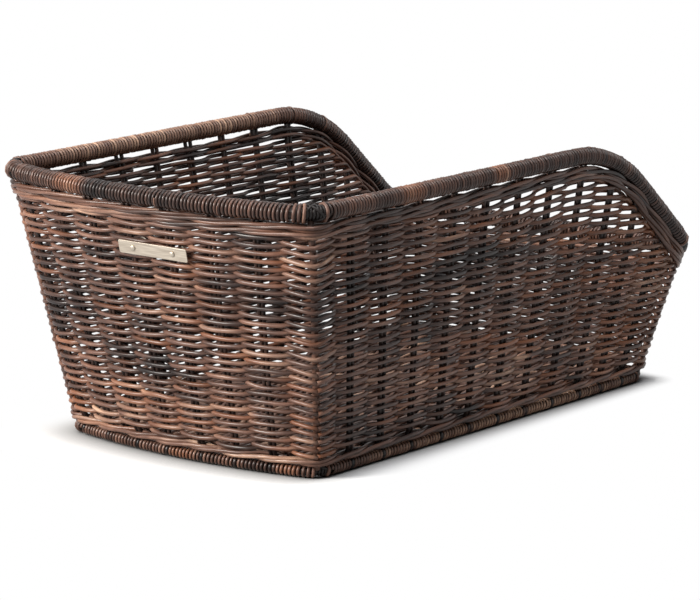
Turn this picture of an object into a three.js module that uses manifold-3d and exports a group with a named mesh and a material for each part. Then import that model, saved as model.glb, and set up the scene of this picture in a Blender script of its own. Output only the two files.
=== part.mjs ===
// A woven basket for a bicycle's rear carrier, in millimetres, +Z up.
// The high end with the plate is at -X, the low end on the saddle side at +X.
// The origin is on the ground, under the middle of the top rim.

import * as THREE from 'three';
import Module from 'manifold-3d';

const wasm = await Module();
wasm.setup();

// Top rim, measured on the centre line of its rod
const rimLength = 470;
const rimWidth = 276;
const rimBackBow = 20;
const rimFrontBow = 10;
const rimCornerRadius = 24;
const rimBackHeight = 191;
const rimFrontHeight = 98;
const rimSag = 3; // fall of the straight stretch from the high end to the shoulder
const shoulderSetback = 111; // from the low end to where the straight and the slope would meet
const shoulderRadius = 123;
const slopeFootSetback = 10;
const slopeFootRadius = 30;
const rimRodDiameter = 8;
const rimWindingThickness = 3;
const rimRibPitch = 21;
const rimRibDepth = 0.7;

// Base rim, measured the same way
const baseLength = 404;
const baseWidth = 222;
const baseBackBow = 14;
const baseFrontBow = 10;
const baseCornerRadius = 16;
const baseForwardShift = 11;
const baseRodDiameter = 3.6;
const baseWindingThickness = 2.8;
const baseRibPitch = 46;
const baseRibDepth = 0.6;

// Corner lashings, along the rims
const rimLashingLength = 22;
const rimLashingThickness = 2.5;
const baseLashingLength = 18;
const baseLashingThickness = 2.4;
const lashingTurns = 2;
const lashingTurnDepth = 0.6;

// Weave
const wallThickness = 9; // over a stake
const weavePinch = 2.3; // by which each face draws in halfway between two stakes
const weaveStrip = 14.25; // a strip stands for five rows of cane, over one stake and under the next
const weaveDip = 1.9; // of a strip where it passes under a stake
const floorGroove = 1.5;
const openBand = 4.5; // between the top of the weave and the rim's winding
const floorThickness = 9;
const floorRise = 1.4; // from the top of the base rim to the middle of the floor's stakes
const floorSlitWidth = 3;
const floorSlitMargin = 2.5; // from a slit's end to the channel of a cross stake

// Stakes and posts
const sideSpaces = 12;
const narrowSideSpaces = 3; // the last ones, towards the low end
const narrowSpaceShare = 0.83; // of the other spaces of a side
const endSpaces = 8;
const lowEndCornerShare = 0.7; // the spaces beside its corner posts, of the others
const highEndLeftShare = 0.48; // the same for the high end, on its left
const highEndRightShare = 1.1; // and on its right
const stakeWidth = 6.5;
const stakeThickness = 3;
const stakeWaist = 1.8;
const stakeBend = 8;
const postDiameter = 5;

// Plate
const plateLength = 60;
const plateHeight = 9.5;
const plateThickness = 1;
const plateCornerCut = 1.2;
const plateCentreHeight = 154.8;
const pinBesideStake = 5.7;
const pinDiameter = 2.4;
const pinHeadDiameter = 4;
const pinHeadThickness = 0.8;
const pinTail = 0.8;
const washerDiameter = 7;
const washerThickness = 0.8;

// Clearances
const seatGap = 0.3;
const channelGap = 0.4;
const endStakeGap = 2;

const rimDiameter = rimRodDiameter + 2 * rimWindingThickness;
const baseRimDiameter = baseRodDiameter + 2 * baseWindingThickness;
const baseCentreHeight = baseRimDiameter / 2;
const wallFoot = baseRimDiameter + seatGap;
const floorHeight = baseRimDiameter + floorRise;
const weaveDrop = rimDiameter / 2 + openBand;
const roundSides = 8;
const largestSagitta = 0.15;

const canes = {
  winding: new THREE.MeshStandardMaterial({ color: 0x3a2c29, roughness: 0.5, metalness: 0 }),
  lashing: new THREE.MeshStandardMaterial({ color: 0x241c1c, roughness: 0.55, metalness: 0 }),
  weave: new THREE.MeshStandardMaterial({ color: 0x5b3b30, roughness: 0.55, metalness: 0 }),
  stake: new THREE.MeshStandardMaterial({ color: 0x3d2b28, roughness: 0.6, metalness: 0 }),
  rod: new THREE.MeshStandardMaterial({ color: 0x5a5652, roughness: 0.6, metalness: 0.2 }),
  plate: new THREE.MeshStandardMaterial({ color: 0xcfc6b4, roughness: 0.35, metalness: 0.8 }),
  pin: new THREE.MeshStandardMaterial({ color: 0xb9b2a4, roughness: 0.35, metalness: 0.9 }),
};

const basket = new THREE.Group();
const across = new THREE.Vector3(0, 1, 0);
const along = new THREE.Vector3(1, 0, 0);
const upward = new THREE.Vector3(0, 0, 1);

// A closed hoop seen from above: straight sides, bowed ends and rounded corners.
// Its four walls run counter-clockwise from the middle of one corner to the next.

function planHoop({ back, front, halfWidth, backRadius, frontRadius, corner }) {
  const reach = (radius) => Math.sqrt((radius - corner) ** 2 - (halfWidth - corner) ** 2);
  const lean = (radius) => Math.asin((halfWidth - corner) / (radius - corner));
  const backCentre = back + backRadius;
  const frontCentre = front - frontRadius;
  const backCorner = backCentre - reach(backRadius);
  const frontCorner = frontCentre + reach(frontRadius);
  const rise = halfWidth - corner;
  const backLean = lean(backRadius);
  const frontLean = lean(frontRadius);
  const arc = (cx, cy, r, from, to) => ({
    length: Math.abs(to - from) * r,
    at: (share) => {
      const angle = from + (to - from) * share;
      return new THREE.Vector2(cx + r * Math.cos(angle), cy + r * Math.sin(angle));
    },
  });
  const line = (x0, y0, x1, y1) => ({
    length: Math.hypot(x1 - x0, y1 - y0),
    at: (share) => new THREE.Vector2(x0 + (x1 - x0) * share, y0 + (y1 - y0) * share),
  });
  const down = -Math.PI / 2;
  const backMiddle = down - (Math.PI / 2 - backLean) / 2;
  const frontMiddle = down + (Math.PI / 2 - frontLean) / 2;
  const walls = {
    right: [
      arc(backCorner, -rise, corner, backMiddle, down),
      line(backCorner, -halfWidth, frontCorner, -halfWidth),
      arc(frontCorner, -rise, corner, down, frontMiddle),
    ],
    front: [
      arc(frontCorner, -rise, corner, frontMiddle, -frontLean),
      arc(frontCentre, 0, frontRadius, -frontLean, frontLean),
      arc(frontCorner, rise, corner, frontLean, -frontMiddle),
    ],
    left: [
      arc(frontCorner, rise, corner, -frontMiddle, Math.PI / 2),
      line(frontCorner, halfWidth, backCorner, halfWidth),
      arc(backCorner, rise, corner, Math.PI / 2, -backMiddle),
    ],
    back: [
      arc(backCorner, rise, corner, -backMiddle, Math.PI - backLean),
      arc(backCentre, 0, backRadius, Math.PI - backLean, Math.PI + backLean),
      arc(backCorner, -rise, corner, Math.PI + backLean, 2 * Math.PI + backMiddle),
    ],
  };
  const lengthOf = (wall) => walls[wall].reduce((sum, part) => sum + part.length, 0);
  const pointAt = (wall, distance) => {
    let left = distance;
    for (const part of walls[wall].slice(0, -1)) {
      if (left <= part.length) return part.at(left / part.length);
      left -= part.length;
    }
    const last = walls[wall].at(-1);
    return last.at(left / last.length);
  };
  const tangentAt = (wall, distance) => {
    const step = 0.05;
    const low = Math.max(distance - step, 0);
    const high = Math.min(distance + step, lengthOf(wall));
    return pointAt(wall, high).sub(pointAt(wall, low)).normalize();
  };
  const cornerLength = (wall) => walls[wall][0].length;
  const reachAt = (y) => {
    const side = Math.abs(y);
    const within = (radius, centre, cornerX, sign) =>
      side <= radius * Math.sin(lean(radius))
        ? centre + sign * Math.sqrt(radius ** 2 - side ** 2)
        : cornerX + sign * Math.sqrt(Math.max(corner ** 2 - (side - rise) ** 2, 0));
    return [within(backRadius, backCentre, backCorner, -1), within(frontRadius, frontCentre, frontCorner, 1)];
  };
  return { lengthOf, pointAt, tangentAt, cornerLength, reachAt };
}

const bowRadius = (halfWidth, bow) => (halfWidth ** 2 + bow ** 2) / (2 * bow);

const rimPlan = planHoop({
  back: -rimLength / 2,
  front: rimLength / 2,
  halfWidth: rimWidth / 2,
  backRadius: bowRadius(rimWidth / 2, rimBackBow),
  frontRadius: bowRadius(rimWidth / 2, rimFrontBow),
  corner: rimCornerRadius,
});

function basePlanInside(inset) {
  return planHoop({
    back: baseForwardShift - baseLength / 2 + inset,
    front: baseForwardShift + baseLength / 2 - inset,
    halfWidth: baseWidth / 2 - inset,
    backRadius: bowRadius(baseWidth / 2, baseBackBow) - inset,
    frontRadius: bowRadius(baseWidth / 2, baseFrontBow) - inset,
    corner: baseCornerRadius - inset,
  });
}

const basePlan = basePlanInside(0);

// Side profile of the top rim: a nearly level stretch, the round shoulder, the slope and its foot

const shoulderX = rimLength / 2 - shoulderSetback;
const slopeFootX = rimLength / 2 - slopeFootSetback;
const straightFall = Math.atan2(rimSag, shoulderX + rimLength / 2);
const slopeFall = Math.atan2(rimBackHeight - rimSag - rimFrontHeight, slopeFootX - shoulderX);

function rimHeight(x) {
  const shoulderReach = shoulderRadius * Math.tan((slopeFall - straightFall) / 2);
  const footReach = slopeFootRadius * Math.tan(slopeFall / 2);
  const straight = (at) => rimBackHeight - rimSag - (at - shoulderX) * Math.tan(straightFall);
  const slope = (at) => rimFrontHeight - (at - slopeFootX) * Math.tan(slopeFall);
  const arcStart = shoulderX - shoulderReach * Math.cos(straightFall);
  const arcEnd = shoulderX + shoulderReach * Math.cos(slopeFall);
  const footStart = slopeFootX - footReach * Math.cos(slopeFall);
  const footEnd = slopeFootX + footReach;
  if (x <= arcStart) return straight(x);
  if (x <= arcEnd) {
    const centreX = arcStart - shoulderRadius * Math.sin(straightFall);
    const centreZ = straight(arcStart) - shoulderRadius * Math.cos(straightFall);
    return centreZ + Math.sqrt(shoulderRadius ** 2 - (x - centreX) ** 2);
  }
  if (x <= footStart) return slope(x);
  if (x <= footEnd) {
    return rimFrontHeight + slopeFootRadius - Math.sqrt(slopeFootRadius ** 2 - (x - footEnd) ** 2);
  }
  return rimFrontHeight;
}

// The hoops in space: distances are measured along the rod, and each place has its own axes

function hoopInSpace(plan, heightAt, hold) {
  const pointAt = (wall, planDistance) => {
    const p = plan.pointAt(wall, planDistance);
    return new THREE.Vector3(p.x, p.y, heightAt(p.x));
  };
  const walls = {};
  for (const wall of ['right', 'front', 'left', 'back']) {
    const planLength = plan.lengthOf(wall);
    const count = Math.ceil(planLength);
    const travelled = [0];
    for (let i = 1; i <= count; i += 1) {
      const step = pointAt(wall, (i / count) * planLength).distanceTo(pointAt(wall, ((i - 1) / count) * planLength));
      travelled.push(travelled[i - 1] + step);
    }
    const planDistanceAt = (distance) => {
      let i = 1;
      while (i < count && travelled[i] < distance) i += 1;
      const share = (distance - travelled[i - 1]) / (travelled[i] - travelled[i - 1]);
      return ((i - 1 + share) / count) * planLength;
    };
    walls[wall] = { length: travelled[count], planDistanceAt };
  }
  const frameAt = (wall, distance) => {
    const planDistance = walls[wall].planDistanceAt(distance);
    const flat = plan.tangentAt(wall, planDistance);
    const position = pointAt(wall, planDistance);
    const step = 0.5;
    const rise = heightAt(position.x + flat.x * step) - heightAt(position.x - flat.x * step);
    const tangent = new THREE.Vector3(flat.x, flat.y, rise / (2 * step)).normalize();
    const outward = new THREE.Vector3(flat.y, -flat.x, 0);
    const up = new THREE.Vector3().crossVectors(outward, tangent);
    return { position, tangent, outward, up };
  };
  // Places along a wall's rod: at its lashings, and closer together where it bends
  for (const wall of Object.keys(walls)) {
    const { length } = walls[wall];
    const places = [0, hold / 2, hold];
    let last = frameAt(wall, hold);
    for (let d = hold + 1; d < length - hold - 1; d += 1) {
      const here = frameAt(wall, d);
      const step = d - places.at(-1);
      if ((step * here.tangent.angleTo(last.tangent)) / 8 > largestSagitta) {
        places.push(d);
        last = here;
      }
    }
    walls[wall].places = [...places, length - hold, length - hold / 2, length];
  }
  const placesBetween = (wall, from, to) => [
    from,
    ...walls[wall].places.filter((place) => place > from + seatGap && place < to - seatGap),
    to,
  ];
  return { walls, frameAt, placesBetween };
}

const rimHoop = hoopInSpace(rimPlan, rimHeight, rimLashingLength / 2);
const baseHoop = hoopInSpace(basePlan, () => baseCentreHeight, baseLashingLength / 2);

// Closed bodies from rings of points that all have the same number of points, with each
// four-sided face split along its shorter diagonal

function solidFromMesh(points, triangles) {
  let volume = 0;
  for (const [a, b, c] of triangles) {
    volume += points[a].dot(new THREE.Vector3().crossVectors(points[b], points[c]));
  }
  const facing = volume < 0 ? triangles.map(([a, b, c]) => [a, c, b]) : triangles;
  const mesh = new wasm.Mesh({
    numProp: 3,
    vertProperties: new Float32Array(points.flatMap((p) => [p.x, p.y, p.z])),
    triVerts: new Uint32Array(facing.flat()),
  });
  mesh.merge();
  return new wasm.Manifold(mesh);
}

function loft(rings, { closed = false, strips = false } = {}) {
  const size = rings[0].length;
  const points = rings.flat();
  const triangles = [];
  const spans = closed ? rings.length : rings.length - 1;
  for (let i = 0; i < spans; i += 1) {
    const here = i * size;
    const next = ((i + 1) % rings.length) * size;
    for (let j = 0; j < size; j += 1) {
      const k = (j + 1) % size;
      const [a, b, c, d] = [here + j, here + k, next + k, next + j];
      const splitsAtB = points[b].distanceTo(points[d]) <= points[a].distanceTo(points[c]);
      triangles.push(...(splitsAtB ? [[a, b, d], [b, c, d]] : [[a, b, c], [a, c, d]]));
    }
  }
  if (!closed) {
    for (const [start, flip] of [[0, true], [(rings.length - 1) * size, false]]) {
      const cap = [];
      if (strips) {
        for (let j = 0; j < size / 2 - 1; j += 1) {
          const far = size - 1 - j;
          cap.push([start + j, start + j + 1, start + far], [start + j + 1, start + far - 1, start + far]);
        }
      } else {
        const middle = new THREE.Vector3();
        for (let j = 0; j < size; j += 1) middle.add(points[start + j]);
        points.push(middle.divideScalar(size));
        for (let j = 0; j < size; j += 1) cap.push([points.length - 1, start + j, start + ((j + 1) % size)]);
      }
      triangles.push(...(flip ? cap.map(([a, b, c]) => [a, c, b]) : cap));
    }
  }
  return solidFromMesh(points, triangles);
}

function addPiece(name, solid, material) {
  const mesh = solid.getMesh();
  const geometry = new THREE.BufferGeometry();
  geometry.setAttribute('position', new THREE.BufferAttribute(new Float32Array(mesh.vertProperties), 3));
  geometry.setIndex(new THREE.BufferAttribute(new Uint32Array(mesh.triVerts), 1));
  geometry.computeVertexNormals();
  const piece = new THREE.Mesh(geometry, material);
  piece.name = name;
  basket.add(piece);
  return piece;
}

// Round sections are polygons whose flats touch the stated radius, with one flat underneath

function roundRing(frame, radius, sides) {
  const outer = radius / Math.cos(Math.PI / sides);
  const ring = [];
  for (let k = 0; k < sides; k += 1) {
    const angle = -Math.PI / 2 + ((k + 0.5) * 2 * Math.PI) / sides;
    const point = frame.position.clone();
    point.addScaledVector(frame.outward, outer * Math.cos(angle));
    point.addScaledVector(frame.up, outer * Math.sin(angle));
    ring.push(point);
  }
  return ring;
}

function hoopRings(hoop, radius, sides) {
  const rings = [];
  for (const wall of ['right', 'front', 'left', 'back']) {
    for (const place of hoop.walls[wall].places.slice(0, -1)) {
      rings.push(roundRing(hoop.frameAt(wall, place), radius, sides));
    }
  }
  return rings;
}

function hoopTube(hoop, radius, sides) {
  return loft(hoopRings(hoop, radius, sides), { closed: true });
}

// A sleeve of wound cane round a rod, with one rib for a group of turns

function windingRings(hoop, wall, from, to, ribs, crest, groove, flatBottom) {
  const rings = [];
  for (let i = 0; i <= 2 * ribs; i += 1) {
    const frame = hoop.frameAt(wall, from + ((to - from) * i) / (2 * ribs));
    const ring = roundRing(frame, i % 2 ? crest : groove, roundSides);
    if (flatBottom) {
      ring[0].z = 0;
      ring[roundSides - 1].z = 0;
    }
    rings.push(ring);
  }
  return rings;
}

function winding({ hoop, wall, trim, rodRadius, radius, pitch, depth, flatBottom }) {
  const from = trim;
  const to = hoop.walls[wall].length - trim;
  const ribs = Math.max(Math.round((to - from) / pitch), 1);
  const outside = windingRings(hoop, wall, from, to, ribs, radius, radius - depth, flatBottom);
  const bore = hoop.placesBetween(wall, from, to).map((place) => hoop.frameAt(wall, place));
  const inside = bore.map((frame) => roundRing(frame, rodRadius + seatGap, roundSides)).reverse();
  return loft([...outside, ...inside], { closed: true });
}

// Rods of the two rims

const rimRodRadius = rimRodDiameter / 2;
const baseRodRadius = baseRodDiameter / 2;
addPiece('top_rim_rod', hoopTube(rimHoop, rimRodRadius, roundSides), canes.rod);
addPiece('base_rim_rod', hoopTube(baseHoop, baseRodRadius, roundSides), canes.rod);

// Windings of the two rims, one for each wall, from corner lashing to corner lashing

for (const wall of ['right', 'front', 'left', 'back']) {
  const top = winding({
    hoop: rimHoop,
    wall,
    trim: rimLashingLength / 2 + seatGap,
    rodRadius: rimRodRadius,
    radius: rimDiameter / 2,
    pitch: rimRibPitch,
    depth: rimRibDepth,
    flatBottom: false,
  });
  addPiece(`rim_winding_${wall}`, top, canes.winding);
  const bottom = winding({
    hoop: baseHoop,
    wall,
    trim: baseLashingLength / 2 + seatGap,
    rodRadius: baseRodRadius,
    radius: baseRimDiameter / 2,
    pitch: baseRibPitch,
    depth: baseRibDepth,
    flatBottom: true,
  });
  addPiece(`base_winding_${wall}`, bottom, canes.winding);
}

// Corner lashings: each bridges the end of one wall and the start of the next

const corners = {
  front_right: ['right', 'front'],
  front_left: ['front', 'left'],
  back_left: ['left', 'back'],
  back_right: ['back', 'right'],
};

function lashing(hoop, [before, after], length, rodRadius, radius) {
  const frames = [];
  const steps = 2 * lashingTurns;
  for (let i = 0; i <= steps; i += 1) {
    const offset = -length / 2 + (length * i) / steps;
    const end = hoop.walls[before].length;
    frames.push(offset <= 0 ? hoop.frameAt(before, end + offset) : hoop.frameAt(after, offset));
  }
  const outside = frames.map((frame, i) => roundRing(frame, i % 2 ? radius : radius - lashingTurnDepth, roundSides));
  const inside = frames.map((frame) => roundRing(frame, rodRadius + seatGap, roundSides)).reverse();
  return loft([...outside, ...inside], { closed: true });
}

const rimLashingRadius = rimRodRadius + rimLashingThickness;
const baseLashingRadius = baseRodRadius + baseLashingThickness;
for (const [name, walls] of Object.entries(corners)) {
  const top = lashing(rimHoop, walls, rimLashingLength, rimRodRadius, rimLashingRadius);
  addPiece(`rim_lashing_${name}`, top, canes.lashing);
  const bottom = lashing(baseHoop, walls, baseLashingLength, baseRodRadius, baseLashingRadius);
  addPiece(`base_lashing_${name}`, bottom, canes.lashing);
}

// The walls are ruled from the base rim to the top rim. A place on a wall is a distance along
// the base rim, one along the top rim and a height.

function wallRuling(wall, baseDistance, rimDistance) {
  const low = basePlan.pointAt(wall, baseDistance);
  const high = rimPlan.pointAt(wall, rimDistance);
  const foot = new THREE.Vector3(low.x, low.y, baseCentreHeight);
  const head = new THREE.Vector3(high.x, high.y, rimHeight(high.x));
  const direction = head.clone().sub(foot).normalize();
  const lowTangent = basePlan.tangentAt(wall, baseDistance);
  const highTangent = rimPlan.tangentAt(wall, rimDistance);
  const placeAt = (height) => {
    const share = (height - foot.z) / (head.z - foot.z);
    const position = foot.clone().lerp(head, share);
    const blend = Math.min(Math.max(share, 0), 1);
    const flat = lowTangent.clone().lerp(highTangent, blend).normalize();
    const sideways = new THREE.Vector3(flat.x, flat.y, 0);
    const outward = new THREE.Vector3(flat.y, -flat.x, 0);
    outward.addScaledVector(direction, -outward.dot(direction)).normalize();
    return { position, sideways, outward };
  };
  return { foot, head, direction, placeAt };
}

function rulingAtShare(wall, share) {
  return wallRuling(wall, share * basePlan.lengthOf(wall), share * rimPlan.lengthOf(wall));
}

// Shares of a wall's length at which its stakes stand

const wideSpaces = new Array(sideSpaces - narrowSideSpaces).fill(1);
const narrowSpaces = new Array(narrowSideSpaces).fill(narrowSpaceShare);
const innerEndSpaces = new Array(endSpaces - 2).fill(1);
const spacesOf = {
  right: [...wideSpaces, ...narrowSpaces],
  front: [lowEndCornerShare, ...innerEndSpaces, lowEndCornerShare],
  left: [...narrowSpaces, ...wideSpaces],
  back: [highEndLeftShare, ...innerEndSpaces, highEndRightShare],
};
const wholeOf = (wall) => spacesOf[wall].reduce((sum, space) => sum + space, 0);

function stakeShares(wall) {
  let travelled = 0;
  return spacesOf[wall].slice(0, -1).map((space) => {
    travelled += space;
    return travelled / wholeOf(wall);
  });
}

// Stakes are pairs of canes side by side, with a waist between the two

function stakeSection() {
  const w = stakeWidth / 2;
  const t = stakeThickness / 2;
  const waist = stakeWaist / 2;
  return [[w, 0], [w / 2, t], [0, waist], [-w / 2, t], [-w, 0], [-w / 2, -t], [0, -waist], [w / 2, -t]];
}

// The channel that a stake leaves in the weave is a plain slot
function channelSection() {
  const w = stakeWidth / 2 + channelGap;
  const t = stakeThickness / 2 + channelGap;
  return [[w, -t], [w, t], [-w, t], [-w, -t]];
}

function stakeRing({ position, tangent, sideways }, section) {
  const lateral = sideways.clone().addScaledVector(tangent, -sideways.dot(tangent)).normalize();
  const depth = new THREE.Vector3().crossVectors(tangent, lateral);
  return section.map(([a, b]) => position.clone().addScaledVector(lateral, a).addScaledVector(depth, b));
}

// One leg of a stake, from the rim's middle down its wall and round the bend to the floor

function stakeLeg(wall, share, inward) {
  const ruling = rulingAtShare(wall, share);
  const bendTop = ruling.placeAt(floorHeight + stakeBend);
  const elbow = ruling.placeAt(floorHeight).position;
  const floorStart = elbow.clone().addScaledVector(inward, stakeBend);
  const down = ruling.direction.clone().negate();
  const floorSide = inward.clone().cross(upward);
  if (floorSide.dot(bendTop.sideways) < 0) floorSide.negate();
  const frames = [
    { position: ruling.head.clone(), tangent: down, sideways: bendTop.sideways },
    { position: bendTop.position, tangent: down, sideways: bendTop.sideways },
  ];
  const first = bendTop.position.clone().lerp(elbow, 0.5);
  const second = elbow.clone().lerp(floorStart, 0.5);
  const bendTangent = second.clone().sub(first).normalize();
  const bendSide = bendTop.sideways.clone().lerp(floorSide, 0.5).normalize();
  frames.push({ position: first.lerp(second, 0.5), tangent: bendTangent, sideways: bendSide });
  frames.push({ position: floorStart, tangent: inward.clone(), sideways: floorSide });
  return frames;
}

function crossStakeFrames(share) {
  const rightLeg = stakeLeg('right', share, across);
  const leftLeg = stakeLeg('left', 1 - share, across.clone().negate());
  const back = leftLeg.reverse().map(({ position, tangent, sideways }) => ({
    position,
    tangent: tangent.clone().negate(),
    sideways: sideways.clone().negate(),
  }));
  return [...rightLeg, ...back];
}

const sideShares = stakeShares('right');

function endStakeFrames(wall, share) {
  const inward = wall === 'back' ? along.clone() : along.clone().negate();
  const frames = stakeLeg(wall, share, inward);
  const last = frames.at(-1);
  const nearest = wall === 'back' ? sideShares[0] : sideShares.at(-1);
  const crossX = rulingAtShare('right', nearest).placeAt(floorHeight).position.x;
  const stop = crossX - inward.x * (stakeWidth / 2 + endStakeGap);
  const end = new THREE.Vector3(stop, last.position.y, last.position.z);
  frames.push({ position: end, tangent: last.tangent.clone(), sideways: last.sideways.clone() });
  return frames;
}

const stakeSolid = (frames, section) => loft(frames.map((frame) => stakeRing(frame, section)));
const underRim = hoopTube(rimHoop, rimDiameter / 2 + seatGap, roundSides);

const channels = { right: [], front: [], left: [], back: [], floor: [] };

sideShares.forEach((share, i) => {
  const frames = crossStakeFrames(share);
  addPiece(`cross_stake_${i + 1}`, stakeSolid(frames, stakeSection()).subtract(underRim), canes.stake);
  const channel = stakeSolid(frames, channelSection());
  channels.right.push(channel);
  channels.left.push(channel);
  channels.floor.push(channel);
});

for (const wall of ['back', 'front']) {
  stakeShares(wall).forEach((share, i) => {
    const frames = endStakeFrames(wall, share);
    addPiece(`${wall}_stake_${i + 1}`, stakeSolid(frames, stakeSection()).subtract(underRim), canes.stake);
    const channel = stakeSolid(frames, channelSection());
    channels[wall].push(channel);
    channels.floor.push(channel);
  });
}

// Corner posts stand between the lashings of the two rims

const postSocketTop = hoopTube(rimHoop, rimLashingRadius + seatGap, roundSides);
const postSocketBottom = hoopTube(baseHoop, baseLashingRadius + seatGap, roundSides);
for (const [name, [, after]] of Object.entries(corners)) {
  const ruling = wallRuling(after, 0, 0);
  const { sideways, outward } = ruling.placeAt(ruling.foot.z);
  const rings = [ruling.foot, ruling.head].map((position) =>
    roundRing({ position, outward, up: sideways }, postDiameter / 2, roundSides));
  const post = loft(rings).subtract(postSocketTop).subtract(postSocketBottom);
  addPiece(`corner_post_${name}`, post, canes.stake);
}

// Wall weaves: level strips that pass over one stake and under the next, each between strips
// that do the opposite, and the whole trimmed to the rim's profile

function wallPlaces(wall) {
  const gap = postDiameter / 2 / Math.cos(Math.PI / roundSides) + seatGap;
  const baseCorner = basePlan.cornerLength(wall);
  const rimCorner = rimPlan.cornerLength(wall);
  const baseWhole = basePlan.lengthOf(wall);
  const rimWhole = rimPlan.lengthOf(wall);
  const start = [gap, gap];
  const bend = [(gap + baseCorner) / 2, (gap + rimCorner) / 2];
  const cornerEnd = [baseCorner, rimCorner];
  const mirrored = [cornerEnd, bend, start].map(([b, r]) => [baseWhole - b, rimWhole - r]);
  const shares = stakeShares(wall);
  const between = shares.slice(1).map((share, i) => (share + shares[i]) / 2);
  const inner = [...shares, ...between].sort((a, b) => a - b).map((share) => [share * baseWhole, share * rimWhole]);
  const upright = [0, ...shares.map((share) => share * rimWhole), rimWhole];
  const halfSpace = rimWhole / wholeOf(wall) / 2;
  return [start, bend, cornerEnd, ...inner, ...mirrored].map(([base, rim]) => {
    const distances = upright.map((place) => Math.abs(place - rim));
    const nearest = Math.min(...distances);
    return { base, rim, upright: distances.indexOf(nearest), pinch: Math.min(nearest / halfSpace, 1) };
  });
}

function weaveTrim() {
  const reach = rimLength;
  const largestTurn = 0.1;
  const slopeAt = (x) => Math.atan(rimHeight(x + 0.5) - rimHeight(x - 0.5));
  const low = [[-reach, rimHeight(-reach) - weaveDrop]];
  let lastSlope = slopeAt(-reach);
  for (let x = -reach; x < reach; x += 1) {
    if (Math.abs(slopeAt(x) - lastSlope) < largestTurn) continue;
    low.push([x, rimHeight(x) - weaveDrop]);
    lastSlope = slopeAt(x);
  }
  low.push([reach, rimHeight(reach) - weaveDrop]);
  const top = rimBackHeight + rimDiameter + reach;
  const ringAt = (y) => [
    ...low.map(([x, z]) => new THREE.Vector3(x, y, z)),
    ...low.map(([x]) => new THREE.Vector3(x, y, top)).reverse(),
  ];
  return loft([ringAt(-rimWidth), ringAt(rimWidth)], { strips: true });
}

const aboveWeave = weaveTrim();

function wallWeave(wall) {
  const places = wallPlaces(wall);
  const rulings = places.map(({ base, rim }) => wallRuling(wall, base, rim));
  const highest = Math.max(...rulings.map((ruling) => ruling.head.z)) - weaveDrop;
  const strips = Math.ceil((highest - wallFoot) / weaveStrip);
  const rings = rulings.map((ruling, at) => {
    const { upright, pinch } = places[at];
    const over = wallThickness / 2 - weavePinch * pinch;
    const under = over - weaveDip * (1 - pinch);
    const outer = [];
    const inner = [];
    for (let i = 0; i <= strips; i += 1) {
      const { position, outward } = ruling.placeAt(wallFoot + i * weaveStrip);
      const isOver = (i + upright) % 2 === 0;
      outer.push(position.clone().addScaledVector(outward, isOver ? over : under));
      inner.push(position.clone().addScaledVector(outward, isOver ? -under : -over));
    }
    return [...outer, ...inner.reverse()];
  });
  let solid = loft(rings, { strips: true }).subtract(aboveWeave);
  for (const channel of channels[wall]) solid = solid.subtract(channel);
  return solid;
}

// Plate on the high end, with a pin beside the middle stake and one beside its right neighbour

const backShares = stakeShares('back');
const middleStake = Math.floor(backShares.length / 2);
const plateNeighbours = [backShares[middleStake], backShares[middleStake + 1]];
const stakePlaces = plateNeighbours.map((share) => rulingAtShare('back', share).placeAt(plateCentreHeight));
const stakeDistance = stakePlaces[1].position.distanceTo(stakePlaces[0].position);
const pinOffset = stakeDistance / 2;
const betweenStakes = (plateNeighbours[0] + plateNeighbours[1]) / 2;
const pinShift = ((plateNeighbours[1] - plateNeighbours[0]) * pinBesideStake) / stakeDistance;
const plateShare = betweenStakes + pinShift;
const plateSeat = rulingAtShare('back', plateShare).placeAt(plateCentreHeight);
const plateSide = stakePlaces[1].position.clone().sub(stakePlaces[0].position).normalize();
const plateUp = new THREE.Vector3().crossVectors(plateSide, plateSeat.outward).normalize();
const plateOut = new THREE.Vector3().crossVectors(plateUp, plateSide).normalize();
if (plateOut.dot(plateSeat.outward) < 0) plateOut.negate();

// The plate stands just clear of the proudest point of the weave behind it
let plateStandoff = 0;
for (let i = -10; i <= 10; i += 1) {
  const share = plateShare + ((i / 20) * plateLength) / rimPlan.lengthOf('back');
  for (const rise of [-plateHeight / 2, 0, plateHeight / 2]) {
    const { position, outward } = rulingAtShare('back', share).placeAt(plateCentreHeight + rise);
    const proud = position.clone().addScaledVector(outward, wallThickness / 2).sub(plateSeat.position);
    plateStandoff = Math.max(plateStandoff, proud.dot(plateOut));
  }
}
plateStandoff += seatGap;

const plateFrame = (side, out) =>
  plateSeat.position.clone().addScaledVector(plateSide, side).addScaledVector(plateOut, out);

function plateRing(out) {
  const corner = plateCornerCut;
  const w = plateLength / 2;
  const h = plateHeight / 2;
  const outline = [
    [w - corner, -h], [w, -h + corner], [w, h - corner], [w - corner, h],
    [corner - w, h], [-w, h - corner], [-w, corner - h], [corner - w, -h],
  ];
  return outline.map(([a, b]) => plateFrame(a, out).addScaledVector(plateUp, b));
}

// Round pieces on the pins' axes, from rings of a radius at a distance out from the wall's middle

function pinRings(side, steps, swell = 0) {
  return steps.map(([out, radius]) =>
    roundRing({ position: plateFrame(side, out), outward: plateSide, up: plateUp }, radius + swell, roundSides));
}

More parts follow.
